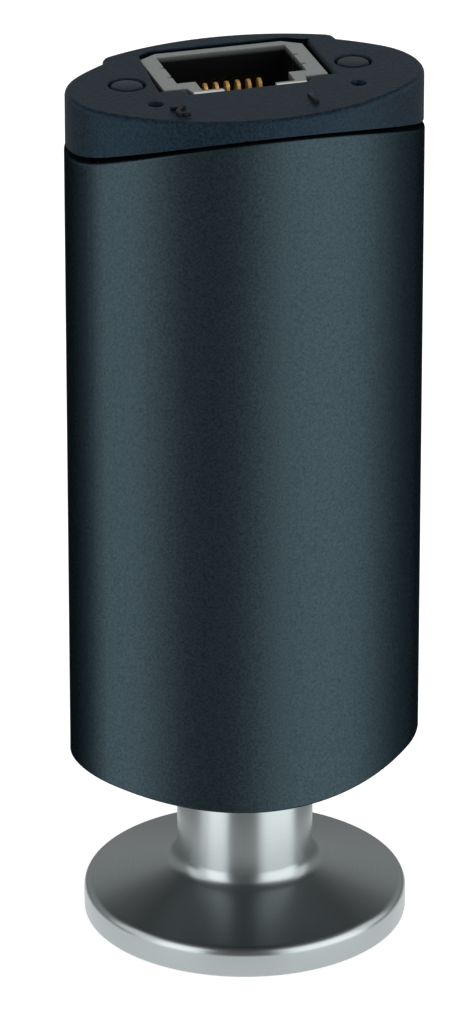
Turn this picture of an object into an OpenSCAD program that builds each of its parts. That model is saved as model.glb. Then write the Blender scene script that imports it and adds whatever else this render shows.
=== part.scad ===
// Pirani vacuum gauge: small-flange port, oval housing and a cap with a modular socket.
// Millimetres. The origin is the centre of the flange's sealing face, +Z runs up the axis,
// +X along the housing's long side and -Y is the front.

/* [Housing] */
// Width of the oval sleeve
housing_w = 33; // [30:0.5:42]
// Depth of the oval sleeve, front to back, without the back land
housing_d = 21.6; // [20.6:0.2:26]
// Radius of the oval's two ends
end_r = 7; // [6.6:0.1:8.5]
// Wall of the sleeve
wall = 1.2; // [0.9:0.1:1.4]
// Height from the sealing face to the top of the cap
overall_h = 82.4; // [78:0.2:110]
// Height of the sleeve's lowest point above the sealing face
sleeve_z = 14.7; // [12:0.1:18]
// Radius of the arched lower edge, seen from the front
bottom_arch_r = 52; // [40:1:120]
// Depth of the seam below the top, at its highest point
seam_drop = 2; // [1.5:0.1:3]
// Radius of the arched seam, seen from the front
seam_arch_r = 40; // [32:1:120]
// Width of the raised land down the back
land_w = 22; // [16:0.2:24]
// Height of the back land above the oval
land_h = 0.6; // [0.3:0.1:1.2]
// Radius of the back land's face
land_r = 24.5; // [20:0.5:40]
// Rounding of the back land's edges
land_edge_r = 1.2; // [0.5:0.1:1.4]
// Least rounding of the back land's edges on the pieces inside
land_inner_r = 0.3; // [0.2:0.05:0.5]
// Height of the plug in the sleeve's lower end
plug_h = 7.3; // [6:0.1:10]
// How far the plug sits up inside the lower edge
plug_sink = 0.8; // [0.3:0.1:2]

/* [Top cap] */
// How far the cap's side stands in from the sleeve's
cap_inset = 0.1; // [0.04:0.02:0.8]
// Dark joint between sleeve and cap at the middle
cap_reveal = 0.3; // [0.1:0.05:0.6]
// Radius of the cap's arched lower edge
cap_arch_r = 44; // [40:1:140]
// Thickness of the cap's top
cap_plate_t = 1.8; // [1.4:0.1:2.4]
// Rounding of the cap's upper edge
cap_edge_r = 0.5; // [0.2:0.1:0.8]
// Wall of the skirt inside the sleeve
skirt_t = 0.9; // [0.7:0.1:1.2]
// How far the skirt reaches below the seam's lowest point
skirt_engage = 1.6; // [1:0.1:3]
// Width of a leg that carries the connector board
leg_w = 1.6; // [1.2:0.1:2]
// Thickness of a leg
leg_t = 1; // [0.8:0.1:1.3]
// Bearing of the legs on the end arcs, from the long axis
leg_angle = 38; // [32:1:44]
// Reach of the hooks on the legs
hook_reach = 0.6; // [0.4:0.1:0.8]
// Height of the hooks on the legs
hook_h = 0.9; // [0.6:0.1:1.2]

/* [Socket] */
// Width of the socket body
jack_w = 15.24; // [14.8:0.02:16]
// Back face of the socket body
jack_back_y = 8.7; // [8.4:0.1:9]
// Depth of the socket body's wide part
jack_d = 9.1; // [8.9:0.1:9.6]
// Height of the socket body
jack_h = 15.2; // [13:0.2:18]
// How far the socket lies below the cap's top
jack_sink = 0.48; // [0.2:0.02:0.8]
// Chamfer of the back corners, along the width
jack_corner_w = 1.7; // [1:0.1:2]
// Chamfer of the back corners, along the depth
jack_corner_d = 1.15; // [0.8:0.05:1.5]
// Width of the tongue at the latch side
tongue_w = 11; // [10.6:0.1:12]
// How far the tongue stands out to the front
tongue_d = 1.6; // [1.2:0.1:2]
// Slant of the tongue's sides
tongue_slant = 0.3; // [0:0.1:0.6]
// Width of the plug opening
mouth_w = 12; // [11.8:0.1:12.4]
// Depth of the plug opening, back to front
mouth_d = 6.75; // [6.6:0.05:7]
// Wall behind the plug opening
mouth_back_t = 0.95; // [0.8:0.05:1.1]
// Width of the step for the latch
step_w = 8.6; // [8:0.1:9]
// Width of the latch slot
latch_w = 4.8; // [4:0.1:5.6]
// Thickness of the two feet beside the latch slot
foot_t = 0.8; // [0.6:0.05:1]
// Floor under the plug opening
jack_floor = 2.3; // [1.6:0.1:4]
// Number of contact wires
contact_count = 8; // [4:2:8]
// Spacing of the contact wires
contact_pitch = 1.016; // [1:0.004:1.2]
// Thickness of a contact wire
wire_t = 0.36; // [0.28:0.02:0.4]
// Radius of the wires' bend, at the middle of the wire
wire_bend_r = 0.42; // [0.36:0.02:0.6]
// Depth of the wires' bend below the mouth
wire_drop = 2.6; // [1.4:0.1:3]
// Lean of the free ends from the wall
wire_lean = 18; // [10:1:22]
// Length of the free ends
wire_free = 8; // [6:0.5:9]

/* [Lamps and set points] */
// Distance of each lamp from the middle
lamp_x = 10.5; // [10.2:0.1:10.8]
// Place of the lamps, front to back
lamp_y = 1.45; // [1.2:0.05:1.8]
// Diameter of a lamp window
lamp_d = 3; // [2.6:0.1:3.2]
// Diameter of the light guide below the window
guide_d = 2.4; // [2:0.1:2.6]
// Height of the collar that stops the window in the cap
guide_collar_h = 0.6; // [0.4:0.1:1]
// How far the collar stands out round the window
guide_collar = 0.35; // [0.3:0.05:0.4]
// Height of a lamp above the connector board
led_h = 0.9; // [0.8:0.1:1.2]
// Height of a lamp's base
led_base_h = 0.6; // [0.4:0.1:0.7]
// Depth of a lamp's base, front to back
led_base_d = 1.4; // [1.2:0.1:2]
// Diameter of a lamp's lens
led_lens_d = 1.2; // [0.8:0.1:1.4]
// Distance of each pin hole from the middle
setpoint_x = 9.36; // [9.2:0.02:9.6]
// Place of the pin holes, front to back
setpoint_y = -3.9; // [-4:0.05:-3.7]
// Diameter of a pin hole
pin_hole_d = 1.35; // [1:0.05:1.6]
// Width of a switch
switch_w = 2.8; // [2.7:0.1:2.9]
// Height of a switch body
switch_h = 2; // [1.8:0.1:2.6]
// Diameter of the plunger's stem
stem_d = 1.4; // [1:0.1:1.6]
// Diameter of the collar that keeps the plunger in
collar_d = 2; // [1.8:0.1:2.1]
// Height of that collar
collar_h = 0.4; // [0.3:0.05:0.5]
// Travel of a plunger
press_travel = 0.25; // [0.15:0.05:0.35]
// Space between a plunger and the cap's top plate
stem_gap = 1; // [0.6:0.1:2]
// Thickness of a switch's cover plate
cover_t = 0.25; // [0.2:0.05:0.3]
// Room for the snap dome below the plunger's travel
dome_space = 0.35; // [0.3:0.05:0.45]
// Thickness of a snap dome
dome_t = 0.06; // [0.05:0.01:0.08]
// Height of a dome at half its radius, as a share of its full height
dome_crown = 0.75; // [0.65:0.05:0.85]

/* [Vacuum flange] */
// Outside diameter of the flange
flange_d = 30; // [30:1:40]
// Height of the flange's rim
rim_h = 3; // [2.4:0.1:3.6]
// Slope of the clamping cone
cone_angle = 15; // [10:1:18]
// Rounding of the rim's upper edge
rim_edge_r = 0.9; // [0.3:0.1:1.2]
// Bevel of the rim's lower edge
rim_bevel = 0.3; // [0.2:0.05:0.4]
// Diameter of the centring recess
recess_d = 17.2; // [16.8:0.1:20]
// Depth of the centring recess
recess_depth = 2.6; // [1.6:0.1:3.2]
// Diameter of the neck
neck_d = 12.6; // [12.4:0.1:14]
// Rounding where the neck meets the cone
neck_fillet_r = 1.6; // [0.8:0.1:2.2]
// Diameter of the spigot inside the housing
spigot_d = 10.6; // [10.4:0.1:11.4]
// Height of the spigot above the plug
spigot_h = 8; // [7:0.2:12]
// Diameter of the port's bore below the screen
port_d = 10; // [9.6:0.1:10.2]
// Diameter of the bore above the screen
bore_d = 8.6; // [8.2:0.1:8.8]
// Height of the screen's seat above the sealing face
screen_z = 8; // [7.6:0.1:10]
// Thickness of the screen
screen_t = 0.4; // [0.3:0.05:0.6]
// Diameter of the screen's holes
screen_hole_d = 0.7; // [0.5:0.05:0.8]
// Spacing of the screen's holes
screen_pitch = 1.3; // [1.2:0.1:2]
// Thickness of the snap ring
ring_t = 0.7; // [0.5:0.1:0.9]
// Depth of the snap ring's groove
ring_groove = 0.45; // [0.3:0.05:0.5]
// Opening of the snap ring, in degrees
ring_open = 50; // [30:5:80]
// Width across the nut's flats
nut_af = 14; // [13.6:0.1:14.4]
// Height of the nut
nut_h = 4; // [3:0.1:5]
// Thickness of the washer
washer_t = 0.6; // [0.4:0.1:1]
// Depth of the plug's seat for the neck, above which the plug is clamped
plug_web = 3.5; // [2.5:0.1:4.5]

/* [Sensor] */
// Thickness of the feedthrough header
header_t = 2; // [1.6:0.1:3]
// Height of the header's weld lip
lip_h = 0.6; // [0.4:0.1:1]
// Width of the header's weld lip beyond the bore
lip_reach = 0.8; // [0.5:0.05:0.9]
// Diameter of the feedthrough pins
pin_d = 0.7; // [0.5:0.05:0.8]
// Distance of the pins from the middle, along the board
pin_x = 2.2; // [2:0.1:2.6]
// Diameter of the glass seals
seal_d = 1.9; // [1.5:0.1:2]
// Length of the pins above the header
pin_up = 5.6; // [4:0.2:8]
// Length of the pins below the header
pin_down = 2.5; // [2:0.1:4]
// Diameter of the filament's posts
post_d = 0.8; // [0.6:0.05:0.9]
// Length of the filament between its posts
filament_h = 10; // [8:0.5:12]
// Radius of the filament's coil
coil_r = 0.7; // [0.5:0.05:0.9]
// Number of turns
coil_turns = 10; // [6:1:14]
// Diameter of the filament's wire
coil_wire_d = 0.16; // [0.1:0.02:0.2]
// Height of the straight lead at each end of the coil
coil_lead = 1; // [0.6:0.1:1.4]
// Diameter of the compensation bead
bead_d = 1.2; // [1:0.1:1.4]
// Length of the bead's leads
bead_lead = 0.6; // [0.4:0.1:0.8]
// Diameter of the bead's leads
bead_lead_d = 0.3; // [0.2:0.05:0.4]

/* [Boards] */
// Thickness of the boards
board_t = 1.6; // [1.2:0.2:1.8]
// Free space round the boards' edges
board_gap = 0.3; // [0.2:0.05:0.4]
// Thickness of the guide ribs in the sleeve
rib_t = 1; // [0.8:0.1:1.2]
// How far the guide ribs reach over the board's edge
rib_reach = 1; // [0.8:0.1:1.4]
// Depth of the board's slots in the plug
board_slot_d = 1.5; // [1:0.1:2]
// Space between the nut and the board's fork
fork_gap = 0.5; // [0.3:0.1:0.8]
// Spacing of the pins between the boards
link_pitch = 2.54; // [2:0.02:2.54]
// Number of pins between the boards
link_count = 6; // [2:2:6]
// Width of a pin between the boards
link_pin_t = 0.5; // [0.4:0.05:0.64]
// Size of a relay: along the board, up the board, off the board
relay_size = [6.5, 10, 5.2];
// Size of the processor
processor_size = [7, 7, 1.2];
// Size of the regulator
regulator_size = [6.5, 3.5, 1.6];
// Size of the inductor
inductor_size = [5, 5, 3];
// Diameter of the capacitor
capacitor_d = 5; // [4:0.1:6]
// Height of the capacitor
capacitor_h = 5.4; // [4:0.1:6]
// Space between neighbouring pieces on the board
part_space = 1.5; // [1:0.1:3]

/* [Fits] */
// Clearance between pieces that slip together
slip = 0.05; // [0.03:0.01:0.08]
// Clearance round the socket and the windows in the cap
trim_gap = 0.2; // [0.12:0.02:0.24]

/* [Hidden] */
$fn = 96;
eps = 0.01;
far = 200;

// Four-arc oval: the end arcs are driven, the face arcs follow from tangency
half_w = housing_w / 2;
half_d = housing_d / 2;
end_x = half_w - end_r;
face_r = (end_x * end_x + half_d * half_d - end_r * end_r) / (2 * (half_d - end_r));
face_y = face_r - half_d;
land_top_y = half_d + land_h;

// Levels
seam_z = overall_h - seam_drop;
cap_low_z = seam_z + cap_reveal;
plate_z = overall_h - cap_plate_t;
seam_low_z = seam_z - arch_drop(seam_arch_r, half_w);
skirt_z = seam_low_z - skirt_engage;
jack_top_z = overall_h - jack_sink;
deck_z = jack_top_z - jack_h;
deck_low_z = deck_z - board_t;
plug_top_z = sleeve_z + plug_h;
shoulder_z = plug_top_z - plug_web;
spigot_top_z = plug_top_z + spigot_h;
header_top_z = spigot_top_z + lip_h;

// Insets from the sleeve's outline
plug_inset = wall + slip;
skirt_in = plug_inset + skirt_t;
board_inset = wall + board_gap;

// Socket
jack_front_y = jack_back_y - jack_d;
tongue_y = jack_front_y - tongue_d;
mouth_back_y = jack_back_y - mouth_back_t;
mouth_front_y = mouth_back_y - mouth_d;
foot_y = tongue_y + foot_t;
slot_w = wire_t + 4 * slip;
wire_y = mouth_back_y + wire_t / 2 + slip;
slot_y = wire_y + wire_t / 2 + slip;
bend_z = jack_top_z - wire_drop - wire_bend_r - wire_t / 2;
tail_z = deck_low_z - wire_t;

// Boards
board_half_w = end_x + sqrt(pow(end_r - wall, 2) - pow(board_t / 2, 2)) - board_gap;
board_top_z = deck_low_z - board_gap;
board_low_z = plug_top_z - board_slot_d + slip;
fork_half_w = nut_af / sqrt(3) + fork_gap;
fork_z = header_top_z + board_gap;
pin_y = board_t / 2 + pin_d / 2;
link_y = -board_t / 2 - link_pitch / 2 - part_space / 2;
link_z = deck_low_z - link_pitch - part_space / 2;
pin_top_z = header_top_z + pin_up;
parts_z = pin_top_z + part_space;
relay_top_z = deck_low_z - link_pitch - part_space;

// Lamps and switches
led_top_z = deck_z + led_h;
cover_z = deck_z + switch_h;
collar_top_z = cover_z - slip;
well_d = collar_d + 2 * slip;
well_z = collar_top_z - collar_h - press_travel - dome_space;
stem_top_z = plate_z - stem_gap;

// Sensor
pin_low_z = spigot_top_z - header_t - pin_down;
post_y = -pin_y;
upper_arm_z = pin_low_z - post_d;
lower_arm_z = upper_arm_z - filament_h - post_d;

// Drop of an arc of radius r at distance x from its top
function arch_drop(r, x) = r - sqrt(r * r - x * x);
// Points of an arc about c, from angle a to angle b in n steps
function arc(c, r, a, b, n) = [for (i = [0:n]) c + r * [cos(a + (b - a) * i / n), sin(a + (b - a) * i / n)]];
// Offsets of count equal steps, centred on zero
function row(count, pitch) = [for (i = [0:count - 1]) (i - (count - 1) / 2) * pitch];

// Outline points of the oval, moved in by inset, from the right end's front round by the back
function oval_ring(inset) =
  let (turn = atan2(face_y, end_x), steps = 20)
  let (small = end_r - inset, large = face_r - inset)
  concat(
    arc([end_x, 0], small, -turn, turn, steps),
    inner_points(arc([0, -face_y], large, turn, 180 - turn, steps)),
    arc([-end_x, 0], small, 180 - turn, 180 + turn, steps),
    inner_points(arc([0, face_y], large, 180 + turn, 360 - turn, steps))
  );

// Outline points of the back land, moved in by inset, from the middle of the housing
function land_ring(inset) =
  let (corner_r = max(land_edge_r - inset, land_inner_r), corner_x = land_w / 2 - inset - corner_r)
  let (centre = [0, land_top_y - land_r], corner_reach = land_r - inset - corner_r)
  let (corner_y = centre[1] + sqrt(corner_reach * corner_reach - corner_x * corner_x))
  let (turn = atan2(corner_y - centre[1], corner_x))
  concat(
    [[corner_x + corner_r, 0]],
    arc([corner_x, corner_y], corner_r, 0, turn, 5),
    inner_points(arc(centre, land_r - inset, turn, 180 - turn, 20)),
    arc([-corner_x, corner_y], corner_r, 180 - turn, 180, 5),
    [[-corner_x - corner_r, 0]]
  );

// A list without its first and last point
function inner_points(list) = [for (i = [1:len(list) - 2]) list[i]];
// Plane points lifted to height z
function at_height(ring, z) = [for (p = ring) [p[0], p[1], z]];

// Solid through rings of equally many points, closed at both ends
module ring_loft(rings) {
  count = len(rings[0]);
  last = len(rings) - 1;
  polyhedron(
    points = [for (ring = rings) each ring],
    faces = concat(
      [[for (k = [0:count - 1]) k]],
      [[for (k = [count - 1:-1:0]) last * count + k]],
      [for (i = [0:last - 1], k = [0:count - 1]) [i * count + k, (i + 1) * count + k,
        (i + 1) * count + (k + 1) % count, i * count + (k + 1) % count]]
    ),
    convexity = 10
  );
}

// Outline of the housing, moved in by inset
module outline(inset) {
  polygon(oval_ring(inset));
  polygon(land_ring(inset));
}

// Round bar along Y whose top lies at z
module arch_under(r, z) {
  translate([0, 0, z - r]) rotate([90, 0, 0]) cylinder(r = r, h = far, center = true, $fn = 240);
}

// Round bar along Y whose bottom lies at z
module arch_over(r, z) {
  translate([0, 0, z + r]) rotate([90, 0, 0]) cylinder(r = r, h = far, center = true, $fn = 240);
}

// Copies on both sides of the middle
module both_sides() {
  for (side = [0, 1])
    mirror([side, 0, 0]) children();
}

// Box of size [x, y, z], centred on x and y, that stands on z = 0
module block(size) {
  translate([-size[0] / 2, -size[1] / 2, 0]) cube(size);
}

// Turned flange and neck
module vacuum_flange() {
  rim_r = flange_d / 2;
  neck_r = neck_d / 2;
  slope = tan(cone_angle);
  edge_c = [rim_r - rim_edge_r, rim_h - rim_edge_r];
  edge_end = edge_c + rim_edge_r * [sin(cone_angle), cos(cone_angle)];
  fillet_x = neck_r + neck_fillet_r;
  foot_x = fillet_x - neck_fillet_r * sin(cone_angle);
  foot_z = edge_end[1] + (edge_end[0] - foot_x) * slope;
  fillet_c = [fillet_x, foot_z + neck_fillet_r * cos(cone_angle)];
  groove_z = screen_z - screen_t;
  color("silver")
    rotate_extrude($fn = 128)
      polygon(concat(
        [[recess_d / 2, 0], [rim_r - rim_bevel, 0], [rim_r, rim_bevel]],
        arc(edge_c, rim_edge_r, 0, 90 - cone_angle, 6),
        arc(fillet_c, neck_fillet_r, 270 - cone_angle, 180, 8),
        [[neck_r, shoulder_z], [spigot_d / 2, shoulder_z], [spigot_d / 2, spigot_top_z]],
        [[bore_d / 2, spigot_top_z], [bore_d / 2, screen_z], [port_d / 2, screen_z], [port_d / 2, groove_z]],
        [[port_d / 2 + ring_groove, groove_z], [port_d / 2 + ring_groove, groove_z - ring_t - slip]],
        [[port_d / 2, groove_z - ring_t - slip], [port_d / 2, recess_depth], [recess_d / 2, recess_depth]]
      ));
}

// Perforated disc in the port
module inlet_screen() {
  screen_r = port_d / 2 - slip;
  reach = bore_d / 2 - screen_hole_d;
  rows = floor(reach / screen_pitch);
  color("lightgray")
    translate([0, 0, screen_z - screen_t])
      linear_extrude(screen_t)
        difference() {
          circle(screen_r);
          for (i = [-rows:rows], j = [-rows:rows]) {
            place = screen_pitch * [i + j / 2, j * sqrt(3) / 2];
            if (norm(place) < reach)
              translate(place) circle(d = screen_hole_d, $fn = 16);
          }
        }
}

// Open snap ring under the screen
module screen_ring() {
  outer_r = port_d / 2 + ring_groove - slip;
  color("gray")
    translate([0, 0, screen_z - screen_t - ring_t])
      linear_extrude(ring_t)
        difference() {
          circle(outer_r);
          circle(port_d / 2 - 2 * ring_groove);
          polygon([[0, 0], far * [cos(ring_open / 2), sin(ring_open / 2)],
            far * [cos(ring_open / 2), -sin(ring_open / 2)]]);
        }
}

// Copies at the four feedthrough pins
module at_pins() {
  for (x = [-pin_x, pin_x], y = [-pin_y, pin_y])
    translate([x, y, 0]) children();
}

// Metal disc that closes the neck
module sensor_header() {
  color("lightsteelblue")
    difference() {
      union() {
        translate([0, 0, spigot_top_z - header_t]) cylinder(d = bore_d - 2 * slip, h = header_t);
        translate([0, 0, spigot_top_z]) cylinder(d = bore_d + 2 * lip_reach, h = lip_h);
      }
      at_pins()
        translate([0, 0, spigot_top_z - header_t - eps]) cylinder(d = seal_d, h = header_t + lip_h + 2 * eps);
    }
}

// Glass round each pin
module glass_seals() {
  color("teal")
    at_pins()
      translate([0, 0, spigot_top_z - header_t])
        difference() {
          cylinder(d = seal_d, h = header_t + lip_h);
          translate([0, 0, -eps]) cylinder(d = pin_d, h = header_t + lip_h + 2 * eps);
        }
}

// Pins that carry the signal through the header to the main board
module feedthrough_pins() {
  color("goldenrod")
    at_pins()
      translate([0, 0, pin_low_z]) cylinder(d = pin_d, h = pin_top_z - pin_low_z);
}

// Post on one pin, with an arm at arm_z that reaches to end_at
module filament_post(pin_side, arm_z, end_at) {
  root_x = pin_side * pin_x;
  color("darkgray") {
    translate([root_x, post_y, arm_z]) cylinder(d = post_d, h = pin_low_z - arm_z);
    translate([root_x, post_y, arm_z]) sphere(d = post_d, $fn = 48);
    translate([root_x, post_y, arm_z]) rotate([0, sign(end_at - root_x) * 90, 0])
      cylinder(d = post_d, h = abs(end_at - root_x));
  }
}

// Post that reaches down the bore to the filament's lower end
module long_post() {
  filament_post(-1, lower_arm_z, coil_r + post_d / 2);
}

// Post that holds the filament's upper end
module short_post() {
  filament_post(1, upper_arm_z, coil_r - post_d / 2);
}

// Wire wound in a coil between the two arms
module filament() {
  low = lower_arm_z + post_d / 2;
  high = upper_arm_z - post_d / 2;
  pitch = (high - low - 2 * coil_lead) / coil_turns;
  climb = atan(pitch / (2 * PI * coil_r));
  turn_steps = 12;
  turns = [for (i = [0:turn_steps * coil_turns]) 360 * i / turn_steps];
  color("dimgray")
    translate([0, post_y, 0])
      ring_loft(concat(
        [wire_ring(0, low, 90)],
        [for (t = turns) wire_ring(t, low + coil_lead + pitch * t / 360, climb)],
        [wire_ring(0, high, 90)]
      ));
}

// Six points round the filament's wire at turn t of the coil and height z, where it climbs at an angle
function wire_ring(t, z, climb) = [
  for (k = [0:5])
    let (out = coil_wire_d / 2 * cos(60 * k), up = coil_wire_d / 2 * sin(60 * k))
    [(coil_r + out) * cos(t) + up * sin(climb) * sin(t),
     (coil_r + out) * sin(t) - up * sin(climb) * cos(t),
     z + up * cos(climb)]
];

// Bead between the two back pins
module compensation_sensor() {
  span = 2 * pin_x - pin_d;
  bead_z = pin_low_z + bead_d / 2;
  color("white")
    translate([0, pin_y, bead_z])
      rotate([0, 90, 0]) {
        cylinder(d = bead_d, h = span - 2 * bead_lead, center = true);
        cylinder(d = bead_lead_d, h = span, center = true);
      }
}

// Plug that closes the sleeve round the neck
module base_plug() {
  color("dimgray")
    difference() {
      intersection() {
        translate([0, 0, sleeve_z]) linear_extrude(plug_h) outline(plug_inset);
        arch_over(bottom_arch_r, sleeve_z + plug_sink);
      }
      translate([0, 0, sleeve_z - eps]) cylinder(d = neck_d + 2 * slip, h = shoulder_z - sleeve_z + eps);
      translate([0, 0, sleeve_z]) cylinder(d = spigot_d + 2 * slip, h = plug_h + eps);
      both_sides()
        translate([fork_half_w - slip, -board_t / 2 - slip, plug_top_z - board_slot_d])
          cube([half_w - fork_half_w, board_t + 2 * slip, board_slot_d + eps]);
    }
}

// Washer under the nut
module lock_washer() {
  color("silver")
    translate([0, 0, plug_top_z])
      difference() {
        cylinder(d = nut_af, h = washer_t);
        translate([0, 0, -eps]) cylinder(d = spigot_d + 2 * slip, h = washer_t + 2 * eps);
      }
}

// Nut that clamps the plug against the neck's shoulder
module lock_nut() {
  color("silver")
    translate([0, 0, plug_top_z + washer_t])
      difference() {
        cylinder(d = nut_af * 2 / sqrt(3), h = nut_h, $fn = 6);
        translate([0, 0, -eps]) cylinder(d = spigot_d + 2 * slip, h = nut_h + 2 * eps);
      }
}

// Oval sleeve with arched ends and board guides
module housing_sleeve() {
  rib_low_z = plug_top_z + board_gap;
  rib_x = board_half_w - rib_reach;
  color("midnightblue") {
    intersection() {
      translate([0, 0, sleeve_z])
        linear_extrude(seam_z - sleeve_z)
          difference() {
            outline(0);
            outline(wall);
          }
      arch_under(seam_arch_r, seam_z);
      arch_over(bottom_arch_r, sleeve_z);
    }
    translate([0, 0, rib_low_z])
      linear_extrude(board_top_z - rib_low_z)
        intersection() {
          outline(wall / 2);
          both_sides()
            for (face = [board_t / 2 + slip, -board_t / 2 - slip - rib_t])
              translate([rib_x, face]) square([half_w, rib_t]);
        }
  }
}

// Outline of the socket, grown by gap, with slanted tongue and chamfered back corners
module jack_outline(gap) {
  side_x = jack_w / 2 + gap;
  back_y = jack_back_y + gap;
  front_y = jack_front_y - gap;
  tip_y = tongue_y - gap;
  half_t = tongue_w / 2 + gap;
  right = [
    [half_t - tongue_slant, tip_y], [half_t, front_y], [side_x, front_y],
    [side_x, back_y - jack_corner_d], [side_x - jack_corner_w, back_y]
  ];
  polygon(concat(right, [for (i = [len(right) - 1:-1:0]) [-right[i][0], right[i][1]]]));
}

// Leg on the end arc, with the shape grown by gap
module leg_shape(gap) {
  outer = sqrt(pow(end_r - plug_inset - slip, 2) - pow(leg_w / 2, 2));
  for (side = [-1, 1])
    translate([end_x, 0]) rotate(side * leg_angle)
      translate([outer - leg_t - gap, -leg_w / 2 - gap]) square([leg_t + end_r * sign(gap), leg_w + 2 * gap]);
}

// Hooks above and below the connector board
module leg_hook() {
  outer = sqrt(pow(end_r - plug_inset - slip, 2) - pow(leg_w / 2, 2));
  for (side = [-1, 1])
    translate([end_x, 0]) rotate(side * leg_angle)
      translate([outer - leg_t - hook_reach, -leg_w / 2]) square([hook_reach + eps, leg_w]);
}

// Moulded cap with a skirt in the sleeve and four legs that clip the connector board
module top_cap() {
  edge_steps = 4;
  edge = arc([cap_inset + cap_edge_r, overall_h - cap_edge_r], cap_edge_r, 180, 90, edge_steps);
  levels = concat([[cap_inset, skirt_z]], edge);
  hook_z = [deck_low_z - slip - hook_h, deck_z + slip];
  color("darkslategray") {
    difference() {
      union() {
        difference() {
          union() {
            ring_loft([for (l = levels) at_height(oval_ring(l[0]), l[1])]);
            ring_loft([for (l = levels) at_height(land_ring(l[0]), l[1])]);
          }
          arch_under(cap_arch_r, cap_low_z);
        }
        translate([0, 0, skirt_z]) linear_extrude(plate_z - skirt_z) outline(plug_inset);
      }
      translate([0, 0, skirt_z - eps]) linear_extrude(plate_z - skirt_z + eps) outline(skirt_in);
      translate([0, 0, skirt_z - eps]) linear_extrude(overall_h - skirt_z + 2 * eps) jack_outline(trim_gap);
      both_sides() {
        translate([lamp_x, lamp_y, plate_z - eps]) cylinder(d = lamp_d + 2 * trim_gap, h = cap_plate_t + 2 * eps);
        translate([setpoint_x, setpoint_y, plate_z - eps]) cylinder(d = pin_hole_d, h = cap_plate_t + 2 * eps);
      }
    }
    both_sides() {
      translate([0, 0, hook_z[0]]) linear_extrude(plate_z - hook_z[0] + eps) leg_shape(0);
      for (z = hook_z)
        translate([0, 0, z]) linear_extrude(hook_h) leg_hook();
    }
  }
}

// Socket body: stepped mouth, latch slot and a comb of wire slots
module jack_housing() {
  deep_z = deck_z + jack_floor;
  mouth_h = jack_h;
  color("gray")
    difference() {
      translate([0, 0, deck_z]) linear_extrude(jack_h) jack_outline(0);
      translate([-mouth_w / 2, mouth_front_y, deep_z]) cube([mouth_w, mouth_d, mouth_h]);
      translate([-step_w / 2, foot_y, deep_z]) cube([step_w, mouth_front_y - foot_y + eps, mouth_h]);
      translate([-latch_w / 2, tongue_y - eps, deep_z]) cube([latch_w, foot_t + 2 * eps, mouth_h]);
      for (x = row(contact_count, contact_pitch))
        translate([x - slot_w / 2, mouth_back_y - eps, deck_z - eps])
          cube([slot_w, slot_y - mouth_back_y + eps, bend_z + wire_bend_r + wire_t - deck_z]);
    }
}

// Area above the X axis, out to reach
module upper_half(reach) {
  translate([-reach, 0]) square([2 * reach, reach]);
}

// Bent contact wire, seen from the side: [y, z]
module contact_profile() {
  bend_c = [wire_y - wire_bend_r, bend_z];
  reach = wire_bend_r + wire_t;
  translate([wire_y - wire_t / 2, tail_z]) square([wire_t, bend_z - tail_z]);
  intersection() {
    translate(bend_c)
      difference() {
        circle(wire_bend_r + wire_t / 2, $fn = 48);
        circle(wire_bend_r - wire_t / 2, $fn = 48);
      }
    translate(bend_c) upper_half(reach);
    translate(bend_c) rotate(-wire_lean) upper_half(reach);
  }
  translate(bend_c) rotate(-wire_lean) translate([-wire_bend_r - wire_t / 2, -wire_free]) square([wire_t, wire_free]);
}

// Spring wires of the socket
module jack_contacts() {
  color("gold")
    for (x = row(contact_count, contact_pitch))
      translate([x - wire_t / 2, 0, 0])
        rotate([90, 0, 90]) linear_extrude(wire_t) contact_profile();
}

// Board under the cap
module connector_board() {
  color("darkgreen")
    translate([0, 0, deck_low_z])
      linear_extrude(board_t)
        difference() {
          outline(board_inset);
          both_sides() leg_shape(slip);
          for (x = row(contact_count, contact_pitch))
            translate([x, wire_y]) square(wire_t + 2 * slip, center = true);
          for (x = row(link_count, link_pitch))
            translate([x, link_y]) square(link_pin_t + 2 * slip, center = true);
        }
}

// Upright board, forked over the nut
module main_board() {
  color("darkgreen")
    translate([0, board_t / 2, 0])
      rotate([90, 0, 0])
        linear_extrude(board_t)
          difference() {
            translate([-board_half_w, board_low_z]) square([2 * board_half_w, board_top_z - board_low_z]);
            translate([-fork_half_w, board_low_z - eps]) square([2 * fork_half_w, fork_z - board_low_z]);
            for (x = row(link_count, link_pitch))
              translate([x, link_z]) square(link_pin_t + 2 * slip, center = true);
          }
}

// Plastic strip that spaces the pins between the boards
module link_header() {
  strip_w = link_count * link_pitch;
  color("black")
    translate([0, link_y, deck_low_z - link_pitch])
      difference() {
        block([strip_w, link_pitch, link_pitch]);
        for (x = row(link_count, link_pitch))
          translate([x, 0, -eps]) block([link_pin_t + 2 * slip, link_pin_t + 2 * slip, link_pitch + 2 * eps]);
      }
}

// Angled pins between the boards
module link_pins() {
  rise = deck_z + link_pin_t - link_z;
  color("gold")
    for (x = row(link_count, link_pitch)) {
      translate([x, link_y, link_z - link_pin_t / 2]) block([link_pin_t, link_pin_t, rise]);
      translate([x - link_pin_t / 2, link_y, link_z - link_pin_t / 2])
        cube([link_pin_t, board_t / 2 + link_pin_t - link_y, link_pin_t]);
    }
}

// Window and light guide, stopped by its collar under the cap
module light_guide(side) {
  color("lightslategray")
    translate([side * lamp_x, lamp_y, 0]) {
      translate([0, 0, plate_z - guide_collar_h]) cylinder(d = lamp_d, h = overall_h - plate_z + guide_collar_h);
      translate([0, 0, plate_z - guide_collar_h])
        cylinder(d = lamp_d + 2 * trim_gap + 2 * guide_collar, h = guide_collar_h);
      translate([0, 0, led_top_z + slip]) cylinder(d = guide_d, h = plate_z - led_top_z - slip);
    }
}

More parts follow.
